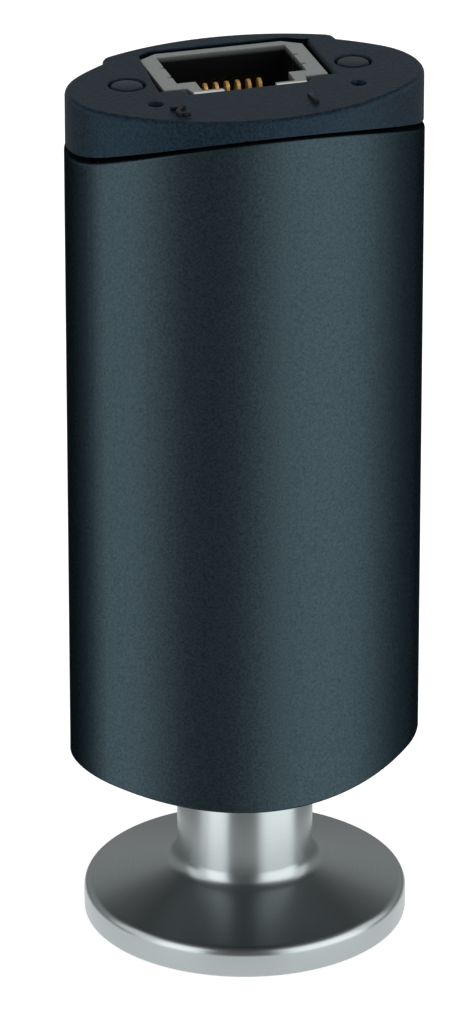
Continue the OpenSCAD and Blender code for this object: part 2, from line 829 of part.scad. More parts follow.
// Lamp on the connector board
module status_led(side) {
  color("white")
    translate([side * lamp_x, lamp_y, deck_z]) {
      block([guide_d, led_base_d, led_base_h]);
      cylinder(d = led_lens_d, h = led_h, $fn = 48);
    }
}

// Body of a push switch
module setpoint_switch(side) {
  color("black")
    translate([side * setpoint_x, setpoint_y, deck_z])
      difference() {
        block([switch_w, switch_w, switch_h]);
        translate([0, 0, well_z - deck_z]) cylinder(d = well_d, h = switch_h);
      }
}

// Snap dome that lifts the plunger
module setpoint_dome(side) {
  dome_h = collar_top_z - collar_h - well_z - slip;
  dome_r = collar_d / 2 - slip;
  color("silver")
    translate([side * setpoint_x, setpoint_y, well_z])
      rotate_extrude($fn = 48)
        polygon([
          [0, dome_h - dome_t], [dome_r / 2, dome_h * dome_crown - dome_t], [dome_r - dome_t, 0],
          [dome_r, 0], [dome_r / 2 + dome_t, dome_h * dome_crown], [0, dome_h]
        ]);
}

// Plunger that a pin through the cap presses
module setpoint_plunger(side) {
  color("ivory")
    translate([side * setpoint_x, setpoint_y, 0]) {
      translate([0, 0, collar_top_z - collar_h]) cylinder(d = collar_d, h = collar_h, $fn = 48);
      translate([0, 0, collar_top_z - eps]) cylinder(d = stem_d, h = stem_top_z - collar_top_z + eps, $fn = 48);
    }
}

// Cover plate that keeps the plunger in its switch
module setpoint_cover(side) {
  color("silver")
    translate([side * setpoint_x, setpoint_y, cover_z])
      difference() {
        block([switch_w, switch_w, cover_t]);
        translate([0, 0, -eps]) cylinder(d = stem_d + 2 * slip, h = cover_t + 2 * eps, $fn = 48);
      }
}

// Box on the main board: face -1 is the front, place is [x, z] of its middle, size [x, z, y]
module board_part(face, place, size) {
  translate([place[0] - size[0] / 2, face > 0 ? board_t / 2 : -board_t / 2 - size[2], place[1] - size[1] / 2])
    cube([size[0], size[2], size[1]]);
}

// Set-point relay on the board's front, below the pins between the boards, left or right of the middle
module setpoint_relay(side) {
  relay_x = side * (relay_size[0] + part_space) / 2;
  color("whitesmoke") board_part(-1, [relay_x, relay_top_z - relay_size[1] / 2], relay_size);
}

// Processor on the board's back
module processor_chip() {
  color("black") board_part(1, [0, parts_z + processor_size[1] / 2], processor_size);
}

// Voltage regulator on the board's back
module regulator_chip() {
  regulator_z = parts_z + processor_size[1] + part_space + regulator_size[1] / 2;
  color("black") board_part(1, [0, regulator_z], regulator_size);
}

// Inductor on the board's back, beside the processor
module power_inductor() {
  inductor_x = processor_size[0] / 2 + part_space / 2 + inductor_size[0] / 2;
  color("dimgray") board_part(1, [inductor_x, parts_z + inductor_size[1] / 2], inductor_size);
}

// Capacitor on the board's back, above the regulator
module filter_capacitor() {
  capacitor_z = parts_z + processor_size[1] + regulator_size[1] + 2 * part_space + capacitor_d / 2;
  color("silver")
    translate([0, board_t / 2, capacitor_z])
      rotate([-90, 0, 0]) cylinder(d = capacitor_d, h = capacitor_h);
}

vacuum_flange();
inlet_screen();
screen_ring();
sensor_header();
glass_seals();
feedthrough_pins();
long_post();
short_post();
filament();
compensation_sensor();
base_plug();
lock_washer();
lock_nut();
housing_sleeve();
top_cap();
jack_housing();
jack_contacts();
connector_board();
main_board();
link_header();
link_pins();
light_guide(-1);  // light_guide_1
light_guide(1);  // light_guide_2
status_led(-1);  // status_led_1
status_led(1);  // status_led_2
setpoint_switch(-1);  // setpoint_switch_1
setpoint_switch(1);  // setpoint_switch_2
setpoint_dome(-1);  // setpoint_dome_1
setpoint_dome(1);  // setpoint_dome_2
setpoint_plunger(-1);  // setpoint_plunger_1
setpoint_plunger(1);  // setpoint_plunger_2
setpoint_cover(-1);  // setpoint_cover_1
setpoint_cover(1);  // setpoint_cover_2
setpoint_relay(-1);  // setpoint_relay_1
setpoint_relay(1);  // setpoint_relay_2
processor_chip();
regulator_chip();
power_inductor();
filter_capacitor();
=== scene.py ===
"""Looks of a pirani vacuum gauge: its visible pieces, finishes and studio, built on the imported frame."""

import math

import bpy
from bpy.props import FloatProperty, FloatVectorProperty, PointerProperty
from mathutils import Matrix, Vector


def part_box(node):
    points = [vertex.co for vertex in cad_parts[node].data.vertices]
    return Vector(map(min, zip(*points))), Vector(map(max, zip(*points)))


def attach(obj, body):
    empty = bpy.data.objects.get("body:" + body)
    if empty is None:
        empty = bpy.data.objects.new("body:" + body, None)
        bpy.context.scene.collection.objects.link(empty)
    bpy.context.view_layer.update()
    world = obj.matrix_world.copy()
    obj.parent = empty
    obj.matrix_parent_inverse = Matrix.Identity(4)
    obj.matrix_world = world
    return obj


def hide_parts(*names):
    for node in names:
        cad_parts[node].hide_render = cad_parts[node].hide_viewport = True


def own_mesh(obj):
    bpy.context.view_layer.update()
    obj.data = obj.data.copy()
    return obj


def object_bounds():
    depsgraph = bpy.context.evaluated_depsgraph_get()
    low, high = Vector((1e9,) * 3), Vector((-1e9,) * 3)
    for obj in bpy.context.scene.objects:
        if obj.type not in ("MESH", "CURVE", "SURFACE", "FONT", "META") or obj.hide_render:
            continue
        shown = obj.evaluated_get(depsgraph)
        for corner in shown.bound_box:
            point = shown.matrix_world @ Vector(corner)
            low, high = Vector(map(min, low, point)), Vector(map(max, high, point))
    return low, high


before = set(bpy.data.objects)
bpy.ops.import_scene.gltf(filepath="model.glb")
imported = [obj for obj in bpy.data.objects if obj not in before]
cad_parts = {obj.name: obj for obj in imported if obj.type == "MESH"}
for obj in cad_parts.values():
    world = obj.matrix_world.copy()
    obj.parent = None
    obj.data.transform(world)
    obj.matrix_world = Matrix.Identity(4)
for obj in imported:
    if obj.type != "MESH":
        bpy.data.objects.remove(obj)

bl_info = {
    "name": "Pirani vacuum gauge",
    "version": (1, 0, 0),
    "blender": (4, 5, 0),
    "location": "View3D > Sidebar > Gauge",
    "description": "Models the visible pieces of a small vacuum gauge and gives every piece its finish",
    "category": "Object",
}

MM = 0.001
CAD_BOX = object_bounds()
GAUGE = "gauge"

# Corners of the nodes that the new pieces take their places from
SLEEVE_LOW, SLEEVE_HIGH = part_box("housing_sleeve")
CAP_LOW, CAP_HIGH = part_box("top_cap")
JACK_LOW, JACK_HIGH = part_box("jack_housing")
WIRE_LOW, WIRE_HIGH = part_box("jack_contacts")
FLANGE_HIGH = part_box("vacuum_flange")[1]
PLUG_LOW, PLUG_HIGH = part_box("base_plug")
NUT_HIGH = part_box("lock_nut")[1]
BOARD_LOW, BOARD_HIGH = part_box("main_board")
DECK_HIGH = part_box("connector_board")[1]
GUIDE_LOW, GUIDE_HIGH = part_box("light_guide_2")
STEM_LOW, STEM_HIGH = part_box("setpoint_plunger_2")
DOME_LOW, DOME_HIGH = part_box("setpoint_dome_2")
SCREEN_LOW, SCREEN_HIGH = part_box("inlet_screen")

# Studio panels: name, bearing in degrees, width and power
PANEL_REACH = 0.55
PANEL_HEIGHT = 1.0
PANELS = [("left_panel", -62, 0.34, 0.9), ("right_panel", 42, 0.6, 1.4)]
OVERHEAD_PLACE = (0, -0.2, 1.0)
OVERHEAD_EXTENT = (0.9, 0.9)
OVERHEAD_POWER = 4.5
# Light of the surroundings, and the floor's own light where it is seen
WORLD_LIGHT = 0.4
FLOOR_GLOW = 0.55
FLOOR_RADIUS = 3.0
# Upright studio cards: name, first and last bearing, low and high edge, brightness
CARD_REACH = 0.75
CARDS = [("front_card", -45, 6, -0.8, 0.8, 0.12), ("low_card", 76, 264, -0.8, 0.04, 0.18),
         ("back_card", 98, 242, 0.04, 0.48, 0.33), ("upper_card", 98, 242, 0.48, 0.9, 0.06)]
# Level studio cards: name, height, radius, brightness
DISCS = [("ceiling_card", 0.9, 0.9, 0.05), ("foot_card", -0.02 * MM, 0.024, 0.9)]
# The floor lies this far below the flange, so that the two faces don't share a plane
FLOOR_DROP = 0.05 * MM
# Height of a snap dome at half its radius, as a share of its full height
DOME_CROWN = 0.75
# Height of a figure as a share of the letter size
FIGURE_SHARE = 0.7
# Places of the notches in the mouth's sides, as shares of its depth from the back
NOTCH_SHARES = (0.39, 0.75)

# Smoothness of drawn arcs: longest chord, and widest angle of one step in degrees
CHORD = 0.3 * MM
STEP = 7.5
# Sides of round solids: turned steel, wide arches, windows, domes, holes and the floor, and studio discs
TURNED_SIDES = 192
ARCH_SIDES = 720
WINDOW_SIDES = 64
DOME_SIDES = 48
ROUND_SIDES = 96
DISC_SIDES = 64
# Edges bent by more than these angles, in degrees, may be rounded, and stay sharp in the shading
ROUNDED_EDGE = 50
SHADED_EDGE = 35
# Radius of a window's crown, as a multiple of the window's own
WINDOW_CROWN = 12
# Number and side of the pieces that come in pairs
PAIR = ((1, -1), (2, 1))
# Points this near to each other are one point, and edges shorter than a crumb are closed up before rounding
WELD = 0.001 * MM
CRUMB = 0.03 * MM


def linear(colour):
    """Linear red, green and blue of an sRGB hex colour."""
    parts = [int(colour[i:i + 2], 16) / 255 for i in (1, 3, 5)]
    return tuple(c / 12.92 if c <= 0.04045 else ((c + 0.055) / 1.055) ** 2.4 for c in parts)


def size(label, text, default):
    """A length that a user may change."""
    return FloatProperty(name=label, description=text, default=default, min=0, unit="LENGTH", subtype="DISTANCE",
                         precision=5)


def angle(label, text, degrees):
    """An angle that a user may change."""
    return FloatProperty(name=label, description=text, default=math.radians(degrees), unit="ROTATION",
                         subtype="ANGLE")


def spot(label, text, default):
    """A place on the cap's top that a user may change."""
    return FloatVectorProperty(name=label, description=text, default=default, size=2, unit="LENGTH",
                               subtype="TRANSLATION")


def colour(label, text, default):
    """A colour that a user may change."""
    return FloatVectorProperty(name=label, description=text, default=linear(default), size=3, min=0, max=1,
                               subtype="COLOR")


class GaugeSizes(bpy.types.PropertyGroup):
    """Sizes of the modelled pieces"""
    end_radius: size("End radius", "Radius of the oval's two ends", 7 * MM)
    wall: size("Wall", "Wall of the sleeve", 1.2 * MM)
    bottom_arch: size("Lower arch", "Radius of the sleeve's arched lower edge", 52 * MM)
    seam_arch: size("Seam arch", "Radius of the sleeve's arched upper edge", 40 * MM)
    sleeve_edge: size("Sleeve edge", "Rounding of the sleeve's edges", 0.22 * MM)
    land_width: size("Land width", "Width of the raised land down the back", 22 * MM)
    land_radius: size("Land radius", "Radius of the back land's face", 24.5 * MM)
    land_edge: size("Land edge", "Rounding of the back land's edges", 1.2 * MM)
    land_inner_edge: size("Land inner edge", "Least rounding of the back land's edges", 0.3 * MM)
    land_fillet: size("Land fillet", "Fillet where the back land meets the oval", 0.3 * MM)
    rib: size("Rib", "Width and reach of the ribs that guide the board", 1 * MM)
    rib_start: size("Rib start", "Space between the plug and the ribs", 0.3 * MM)
    fork_gap: size("Fork gap", "Space between the lock nut and the board's fork", 0.5 * MM)
    cap_inset: size("Cap inset", "How far the cap's side stands in from the sleeve's", 0.1 * MM)
    cap_reveal: size("Cap reveal", "Dark joint between sleeve and cap at the middle", 0.3 * MM)
    cap_arch: size("Cap arch", "Radius of the cap's arched lower edge", 44 * MM)
    cap_plate: size("Cap plate", "Thickness of the cap's top", 1.8 * MM)
    cap_edge: size("Cap edge", "Rounding of the cap's upper edge", 0.5 * MM)
    skirt_wall: size("Skirt wall", "Wall of the cap's skirt", 0.9 * MM)
    skirt_depth: size("Skirt depth", "How far the skirt reaches below the cap's top", 7.16 * MM)
    leg_width: size("Leg width", "Width of a leg under the cap", 1.6 * MM)
    leg_thickness: size("Leg thickness", "Thickness of a leg under the cap", 1 * MM)
    leg_angle: angle("Leg angle", "Bearing of the legs on the end arcs", 38)
    hook_reach: size("Hook reach", "Reach of the hooks on the legs", 0.6 * MM)
    hook_height: size("Hook height", "Height of the hooks on the legs", 0.9 * MM)
    trim_gap: size("Trim gap", "Clearance round the windows", 0.2 * MM)
    slip: size("Slip", "Clearance of pieces that slip together", 0.05 * MM)
    opening_edge: size("Opening edge", "Rounding of the openings in the cap's top", 0.1 * MM)
    socket_gap: size("Socket gap", "Clearance round the socket's rim", 0.35 * MM)
    rim_rise: size("Rim rise", "Height of the bead on the socket's upper face", 0.3 * MM)
    lamp_diameter: size("Lamp window", "Diameter of a lamp window", 3 * MM)
    guide_diameter: size("Light guide", "Diameter of the guide below a window", 2.4 * MM)
    collar_height: size("Collar height", "Height of the collar below a window", 0.6 * MM)
    window_edge: size("Window edge", "Rounding of a window's edge", 0.3 * MM)
    pin_hole: size("Pin hole", "Diameter of a pin hole", 1.35 * MM)
    press_travel: size("Press travel", "Travel of a set-point plunger", 0.25 * MM)
    dome_thickness: size("Dome thickness", "Thickness of a snap dome", 0.06 * MM)
    tongue_width: size("Tongue width", "Width of the socket's tongue", 11 * MM)
    tongue_depth: size("Tongue depth", "How far the tongue stands out to the front", 1.6 * MM)
    tongue_slant: size("Tongue slant", "Slant of the tongue's sides", 0.3 * MM)
    corner_width: size("Corner width", "Chamfer of the socket's back corners, along the width", 1.7 * MM)
    corner_depth: size("Corner depth", "Chamfer of the socket's back corners, along the depth", 1.15 * MM)
    mouth_width: size("Mouth width", "Width of the plug opening", 12 * MM)
    mouth_depth: size("Mouth depth", "Depth of the plug opening, back to front", 6.75 * MM)
    mouth_back: size("Mouth back", "Wall behind the plug opening", 0.95 * MM)
    step_width: size("Step width", "Width of the step for the latch", 8.6 * MM)
    latch_width: size("Latch width", "Width of the latch slot", 4.8 * MM)
    foot: size("Foot", "Thickness of the feet beside the latch slot", 0.8 * MM)
    socket_floor: size("Socket floor", "Floor under the plug opening", 2.3 * MM)
    socket_edge: size("Socket edge", "Rounding of the socket's upper edges", 0.1 * MM)
    wire: size("Wire", "Thickness of a contact wire", 0.36 * MM)
    wire_pitch: size("Wire pitch", "Spacing of the contact wires", 1.016 * MM)
    wire_bend: size("Wire bend", "Radius of the wires' bend", 0.42 * MM)
    wire_drop: size("Wire drop", "Depth of the wires' bend below the mouth", 2.6 * MM)
    wire_free: size("Wire free end", "Length of the wires' free ends", 8 * MM)
    wire_lean: angle("Wire lean", "Lean of the free ends from the wall", 18)
    rim_height: size("Rim height", "Height of the flange's rim", 3 * MM)
    rim_edge: size("Rim edge", "Rounding of the rim's upper edge", 0.9 * MM)
    cone_angle: angle("Cone angle", "Slope of the clamping cone", 15)
    recess_diameter: size("Recess", "Diameter of the centring recess", 17.2 * MM)
    recess_depth: size("Recess depth", "Depth of the centring recess", 2.6 * MM)
    neck_diameter: size("Neck", "Diameter of the neck", 12.6 * MM)
    neck_fillet: size("Neck fillet", "Rounding where the neck meets the cone", 1.6 * MM)
    spigot_diameter: size("Spigot", "Diameter of the spigot inside the housing", 10.6 * MM)
    plug_web: size("Plug web", "Thickness of the plug above the neck's shoulder", 3.5 * MM)
    port_diameter: size("Port", "Diameter of the port's bore below the screen", 10 * MM)
    bore_diameter: size("Bore", "Diameter of the bore above the screen", 8.6 * MM)
    ring_groove: size("Ring groove", "Depth of the snap ring's groove", 0.45 * MM)
    ring_height: size("Ring height", "Height of the snap ring's groove", 0.75 * MM)
    turned_edge: size("Turned edge", "Broken edge of the turned pieces", 0.25 * MM)
    notch_width: size("Notch width", "Width of the notches in the mouth's sides", 0.35 * MM)
    notch_depth: size("Notch depth", "Depth of the notches in the mouth's sides", 0.4 * MM)
    notch_height: size("Notch height", "Height of the notches in the mouth's sides", 3 * MM)
    numeral_height: size("Numeral height", "Height of the moulded numbers", 2 * MM)
    numeral_relief: size("Numeral relief", "How far the moulded numbers stand up", 0.25 * MM)
    numeral_weight: size("Numeral weight", "How much the numbers' strokes are thickened", 0.03 * MM)
    numeral_1: spot("Number 1", "Place of the right number", (4.3 * MM, -6.6 * MM))
    numeral_2: spot("Number 2", "Place of the left number", (-7.8 * MM, -6.4 * MM))


class GaugeColours(bpy.types.PropertyGroup):
    """Colours of the finishes"""
    steel: colour("Steel", "Turned stainless steel", "#b8c0c1")
    sleeve: colour("Sleeve", "Dark anodised aluminium of the sleeve", "#38464c")
    cap: colour("Cap", "Moulded plastic of the cap", "#18242d")
    socket: colour("Socket", "Black plastic of the socket", "#080909")
    gloss: colour("Gloss", "Tint of the gloss on the cap and the windows", "#98cdf2")
    # Painted light: grey of the socket's upper face, drawn lighter than the faces below it
    rim: colour("Rim", "Scuffed rim of the socket", "#808483")
    # Painted highlight: bright line along the front of the socket's feet
    lip_highlight: colour("Lip", "Bright front of the socket's feet", "#cfcec4")
    window: colour("Window", "Smoky plastic of the lamp windows", "#131c22")
    gold: colour("Gold", "Gold plating of the contacts", "#ffcb78")
    floor: colour("Floor", "Plain pale floor", "#f4f4f4")


class GaugeView(bpy.types.PropertyGroup):
    """Place of the camera"""
    azimuth: angle("Azimuth", "Bearing of the camera from the front", -16.5)
    elevation: angle("Elevation", "Height of the camera above the horizon", 24.3)
    distance: size("Distance", "Distance of the camera from its aim", 0.65)
    aim: FloatVectorProperty(name="Aim", description="Point at the middle of the picture", size=3,
                             default=(-0.6 * MM, 0.2 * MM, 40.1 * MM), unit="LENGTH", subtype="TRANSLATION")
    lens: FloatProperty(name="Lens", description="Focal length in millimetres", default=250.2, min=1)


def sizes():
    """The sizes in use."""
    return bpy.context.scene.gauge_sizes


def colours():
    """The colours in use."""
    return bpy.context.scene.gauge_colours


# Modelling steps

def deselect():
    """Leaves nothing selected, before a new object is added."""
    bpy.ops.object.select_all(action="DESELECT")


def settle():
    """Applies the active object's place, turn and scale to its mesh."""
    bpy.ops.object.transform_apply(location=True, rotation=True, scale=True)
    return bpy.context.object


def only(piece):
    """Makes piece the one selected and active object."""
    deselect()
    piece.select_set(True)
    bpy.context.view_layer.objects.active = piece
    return piece


def edit(piece):
    """Opens piece in edit mode with all of it selected."""
    only(piece)
    bpy.ops.object.mode_set(mode="EDIT")
    bpy.ops.mesh.select_all(action="SELECT")


def close_edit():
    """Leaves edit mode."""
    bpy.ops.object.mode_set(mode="OBJECT")


def trace(name, plane, start, moves, level=0.0):
    """Draws an open path in a plane. A move is a point to draw a line to, or a centre and degrees to spin about it."""
    u, v, depth = (Vector([float(axis == letter) for letter in "XYZ"]) for axis in plane)
    around = -u.cross(v)

    def place(point):
        return u * point[0] + v * point[1] + depth * level

    deselect()
    bpy.ops.mesh.primitive_plane_add(size=1, enter_editmode=True)
    piece = bpy.context.object
    piece.name = name
    bpy.ops.mesh.merge(type="CENTER")
    bpy.ops.transform.translate(value=place(start))
    here = Vector(start)
    for point, *turn in moves:
        point = Vector(point)
        if turn:
            arm = here - point
            sweep = math.radians(abs(turn[0]))
            steps = math.ceil(max(abs(turn[0]) / STEP, arm.length * sweep / CHORD))
            bpy.ops.mesh.spin(steps=steps, angle=math.radians(turn[0]), center=place(point), axis=around)
            arm.rotate(Matrix.Rotation(math.radians(turn[0]), 2))
            here = point + arm
        else:
            bpy.ops.mesh.extrude_region_move(TRANSFORM_OT_translate={"value": place(point) - place(here)})
            here = point
    close_edit()
    return piece


def weld(piece):
    """Merges doubled points and turns all faces outwards."""
    edit(piece)
    bpy.ops.mesh.remove_doubles(threshold=WELD)
    bpy.ops.mesh.normals_make_consistent(inside=False)
    close_edit()
    return piece


def apply_modifier(piece, kind, **settings):
    """Adds a modifier with its settings and applies it."""
    only(piece)
    modifier = piece.modifiers.new(kind.title(), kind)
    for key, value in settings.items():
        setattr(modifier, key, value)
    bpy.ops.object.modifier_apply(modifier=modifier.name)
    return piece


def raise_face(piece, move):
    """Fills a closed path and extrudes it into a solid."""
    edit(piece)
    bpy.ops.mesh.remove_doubles(threshold=WELD)
    bpy.ops.mesh.edge_face_add()
    bpy.ops.mesh.extrude_region_move(TRANSFORM_OT_translate={"value": move})
    close_edit()
    return weld(piece)


def revolve(piece, steps, middle=(0, 0)):
    """Turns a drawn profile once round the upright axis, and moves the solid to its middle."""
    edit(piece)
    bpy.ops.mesh.spin(steps=steps, angle=2 * math.pi, center=(0, 0, 0), axis=(0, 0, 1))
    close_edit()
    weld(piece)
    edit(piece)
    bpy.ops.transform.translate(value=(*middle, 0))
    close_edit()
    return piece


def prism(name, path, low, high):
    """Upright solid over an outline whose right half is path, from height low to height high."""
    start, moves = path
    piece = trace(name, "XYZ", start, moves, level=low)
    apply_modifier(piece, "MIRROR", merge_threshold=WELD)
    return raise_face(piece, (0, 0, high - low))


def block(low, high):
    """Box between two corners."""
    low, high = Vector(low), Vector(high)
    deselect()
    bpy.ops.mesh.primitive_cube_add(size=1, location=(low + high) / 2, scale=high - low)
    return settle()


def disc(name, radius, height, sides):
    """Flat round plate on the upright axis."""
    deselect()
    bpy.ops.mesh.primitive_circle_add(vertices=sides, radius=radius, fill_type="NGON", location=(0, 0, height))
    plate = settle()
    plate.name = name
    return plate


def bar(radius, low, high, sides=ROUND_SIDES):
    """Round bar between the middles of its two ends."""
    low, high = Vector(low), Vector(high)
    deselect()
    bpy.ops.mesh.primitive_cylinder_add(vertices=sides, radius=radius, depth=(high - low).length,
                                        location=(low + high) / 2,
                                        rotation=(high - low).to_track_quat("Z", "Y").to_euler())
    return settle()


def arch(radius, top):
    """Wide round bar along the depth, whose highest or lowest line is at height top: lowest for a negative radius."""
    reach = Vector((0, 2 * SLEEVE_HIGH.x, 0))
    centre = Vector((0, 0, top - radius))
    return bar(abs(radius), centre - reach, centre + reach, sides=ARCH_SIDES)


def cut(piece, *cutters, how="DIFFERENCE"):
    """Cuts piece with solids, which are used up."""
    for cutter in cutters:
        apply_modifier(piece, "BOOLEAN", operation=how, solver="EXACT", object=cutter)
        bpy.data.meshes.remove(cutter.data)
    return piece


def soften(piece, width, segments, wanted):
    """Rounds the sharp edges whose middle passes a test. It comes after all cuts, which need clean faces."""
    edit(piece)
    bpy.ops.mesh.remove_doubles(threshold=CRUMB)
    bpy.context.tool_settings.mesh_select_mode = (False, True, False)
    bpy.ops.mesh.select_all(action="DESELECT")
    bpy.ops.mesh.edges_select_sharp(sharpness=math.radians(ROUNDED_EDGE))
    close_edit()
    points = piece.data.vertices
    for edge in piece.data.edges:
        first, last = (points[i].co for i in edge.vertices)
        edge.select = edge.select and wanted((first + last) / 2)
    bpy.ops.object.mode_set(mode="EDIT")
    bpy.ops.mesh.bevel(offset=width, segments=segments, affect="EDGES", loop_slide=False)
    bpy.context.tool_settings.mesh_select_mode = (True, False, False)
    close_edit()
    return piece


def hand_over(piece, name, slot, *nodes, look=None):
    """Names a finished piece, gives it its finish and puts it on the gauge in place of its nodes.

    A look is a finish other than the slot's own."""
    only(piece)
    bpy.ops.object.shade_smooth_by_angle(angle=math.radians(SHADED_EDGE))
    apply_modifier(piece, "WEIGHTED_NORMAL", keep_sharp=True)
    piece.name = name
    piece.data.materials.clear()
    piece.data.materials.append(finish(look or slot))
    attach(piece, GAUGE)
    if nodes:
        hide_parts(*nodes)
    return piece


def face_arc():
    """Radius of the oval's front and back arcs, and how far their centres lie beyond the middle."""
    s = sizes()
    end_x, half_d = SLEEVE_HIGH.x - s.end_radius, -SLEEVE_LOW.y
    face_r = (end_x ** 2 + half_d ** 2 - s.end_radius ** 2) / (2 * (half_d - s.end_radius))
    return face_r, face_r - half_d


def housing_path(inset):
    """Right half of the housing's outline, moved in by inset: four-arc oval and back land."""
    s = sizes()
    end_x, half_d = SLEEVE_HIGH.x - s.end_radius, -SLEEVE_LOW.y
    face_r, face_y = face_arc()
    end_turn = math.degrees(math.atan2(face_y, end_x))
    land_y = SLEEVE_HIGH.y - s.land_radius
    side_x = s.land_width / 2 - inset
    corner_r = max(s.land_edge - inset, s.land_inner_edge)
    corner_x = side_x - corner_r
    corner_y = land_y + math.sqrt((s.land_radius - inset - corner_r) ** 2 - corner_x ** 2)
    corner_turn = math.degrees(math.atan2(corner_y - land_y, corner_x))
    fillet_x = side_x + s.land_fillet
    fillet_y = math.sqrt((face_r - inset + s.land_fillet) ** 2 - fillet_x ** 2) - face_y
    fillet_turn = math.degrees(math.atan2(fillet_y + face_y, fillet_x))
    return (0, inset - half_d), [
        ((0, face_y), 90 - end_turn),
        ((end_x, 0), 2 * end_turn),
        ((0, -face_y), fillet_turn - end_turn),
        ((fillet_x, fillet_y), -fillet_turn),
        ((side_x, corner_y),),
        ((corner_x, corner_y), corner_turn),
        ((0, land_y), 90 - corner_turn),
    ]


def socket_path(gap):
    """Right half of the socket's outline, grown by gap: slanted tongue and chamfered back corners."""
    s = sizes()
    side_x = JACK_HIGH.x + gap
    back_y = JACK_HIGH.y + gap
    tip_y = JACK_LOW.y - gap
    front_y = tip_y + s.tongue_depth
    tongue_x = s.tongue_width / 2 + gap
    return (0, tip_y), [
        ((tongue_x - s.tongue_slant, tip_y),),
        ((tongue_x, front_y),),
        ((side_x, front_y),),
        ((side_x, back_y - s.corner_depth),),
        ((side_x - s.corner_width, back_y),),
        ((0, back_y),),
    ]


# Finishes

def per(millimetres):
    """Texture scale whose features are about so many millimetres wide."""
    return 1 / (millimetres * MM)


def add_node(tree, kind, inputs=None, **settings):
    """Adds a node with its settings. An input takes a value, or another node's output."""
    node = tree.nodes.new("ShaderNode" + kind)
    for key, value in settings.items():
        setattr(node, key, value)
    for key, value in (inputs or {}).items():
        if isinstance(value, bpy.types.NodeSocket):
            tree.links.new(value, node.inputs[key])
        elif node.inputs[key].type == "RGBA":
            node.inputs[key].default_value = (*value[:3], 1)
        else:
            node.inputs[key].default_value = value
    return node


def new_finish(name):
    """An empty material and its node tree."""
    material = bpy.data.materials.new(name)
    material.use_nodes = True
    material.node_tree.nodes.clear()
    return material, material.node_tree


def new_surface(name):
    """An empty material, its node tree and its Object coordinates."""
    material, tree = new_finish(name)
    return material, tree, add_node(tree, "TexCoord").outputs["Object"]


def contrast(tree, noise):
    """The middle values of a noise, spread over the whole range."""
    return add_node(tree, "MapRange", {"Value": noise.outputs["Fac"], "From Min": 0.3, "From Max": 0.7}).outputs[0]


def shade(tree, **inputs):
    """Adds the surface shader and the output."""
    named = {key.replace("_", " ").title().replace("Ior", "IOR"): value for key, value in inputs.items()}
    shader = add_node(tree, "BsdfPrincipled", named)
    add_node(tree, "OutputMaterial", {"Surface": shader.outputs["BSDF"]})


def tinted(tree, pattern, dark, light):
    """Colour that runs from dark to light with a pattern."""
    ramp = add_node(tree, "Mix", {0: pattern, 6: dark, 7: light}, data_type="RGBA")
    return ramp.outputs[2]


def dim(rgb, share):
    """A colour at a share of its brightness."""
    return tuple(c * share for c in rgb)


def inside(tree, place, low, high):
    """One within the box between two corners, and nothing outside it."""
    offset = add_node(tree, "VectorMath", {0: place, 1: (low + high) / 2}, operation="SUBTRACT")
    share = add_node(tree, "VectorMath", {0: offset.outputs[0], 1: (high - low) / 2}, operation="DIVIDE")
    reach = add_node(tree, "VectorMath", {0: share.outputs[0]}, operation="ABSOLUTE")
    parts = add_node(tree, "SeparateXYZ", {"Vector": reach.outputs[0]})
    most = parts.outputs["X"]
    for axis in "YZ":
        most = add_node(tree, "Math", {0: most, 1: parts.outputs[axis]}, operation="MAXIMUM").outputs[0]
    return add_node(tree, "Math", {0: most, 1: 1.0}, operation="LESS_THAN").outputs[0]


def grain_finish(name, rgb, grain, depth, roughness, metallic=0.0, spread=0.15, specular=0.5, gloss=(1, 1, 1),
                 painted_shade_box=None):
    """Surface with an even grain: its width and bump in millimetres, spread of its brightness, colour of its gloss.

    The grain leaves out what lies in the given box, which is painted nearly black as painted shade."""
    material, tree, place = new_surface(name)
    grains = add_node(tree, "TexNoise", {"Vector": place, "Scale": per(grain), "Detail": 3.0})
    bump = add_node(tree, "Bump", {"Height": grains.outputs["Fac"], "Distance": depth * MM, "Strength": 0.5})
    rough = add_node(tree, "MapRange", {"Value": grains.outputs["Fac"], "To Min": roughness - 0.05,
                                        "To Max": roughness + 0.05})
    body = tinted(tree, contrast(tree, grains), dim(rgb, 1 - spread), dim(rgb, 1 + spread))
    # Painted shade: inside the box the grain gives way to near black
    if painted_shade_box:
        body = tinted(tree, inside(tree, place, *painted_shade_box), body, dim(rgb, 0.05))
    shade(tree, base_color=body, metallic=metallic, roughness=rough.outputs[0], specular_ior_level=specular,
          specular_tint=gloss, normal=bump.outputs[0])
    return material


def turned_stainless():
    """Turned stainless steel: bright, with fine rings that stretch reflections across the cut."""
    material, tree, place = new_surface("Turned stainless steel")
    parts = add_node(tree, "SeparateXYZ", {"Vector": place})
    flat = add_node(tree, "CombineXYZ", {"X": parts.outputs["X"], "Y": parts.outputs["Y"]})
    radius = add_node(tree, "VectorMath", {0: flat.outputs[0]}, operation="LENGTH")
    along = add_node(tree, "Math", {0: radius.outputs["Value"], 1: parts.outputs["Z"]}, operation="ADD")
    # Tool marks are about 0.05 mm apart: drawn at 0.16 mm, as the picture shows no finer ones
    marks = add_node(tree, "TexNoise", {"W": along.outputs[0], "Scale": per(0.16), "Detail": 2.0},
                     noise_dimensions="1D")
    handling = add_node(tree, "TexNoise", {"Vector": place, "Scale": per(6.0), "Detail": 1.0})
    bump = add_node(tree, "Bump", {"Height": marks.outputs["Fac"], "Distance": 0.004 * MM, "Strength": 0.3})
    rough = add_node(tree, "MapRange", {"Value": handling.outputs["Fac"], "To Min": 0.27, "To Max": 0.33})
    tangent = add_node(tree, "Tangent", direction_type="RADIAL", axis="Z")
    steel = tuple(colours().steel)
    shade(tree, base_color=tinted(tree, marks.outputs["Fac"], dim(steel, 0.92), dim(steel, 1.04)), metallic=1.0,
          roughness=rough.outputs[0], anisotropic=0.5, anisotropic_rotation=0.25, normal=bump.outputs[0],
          tangent=tangent.outputs[0])
    return material


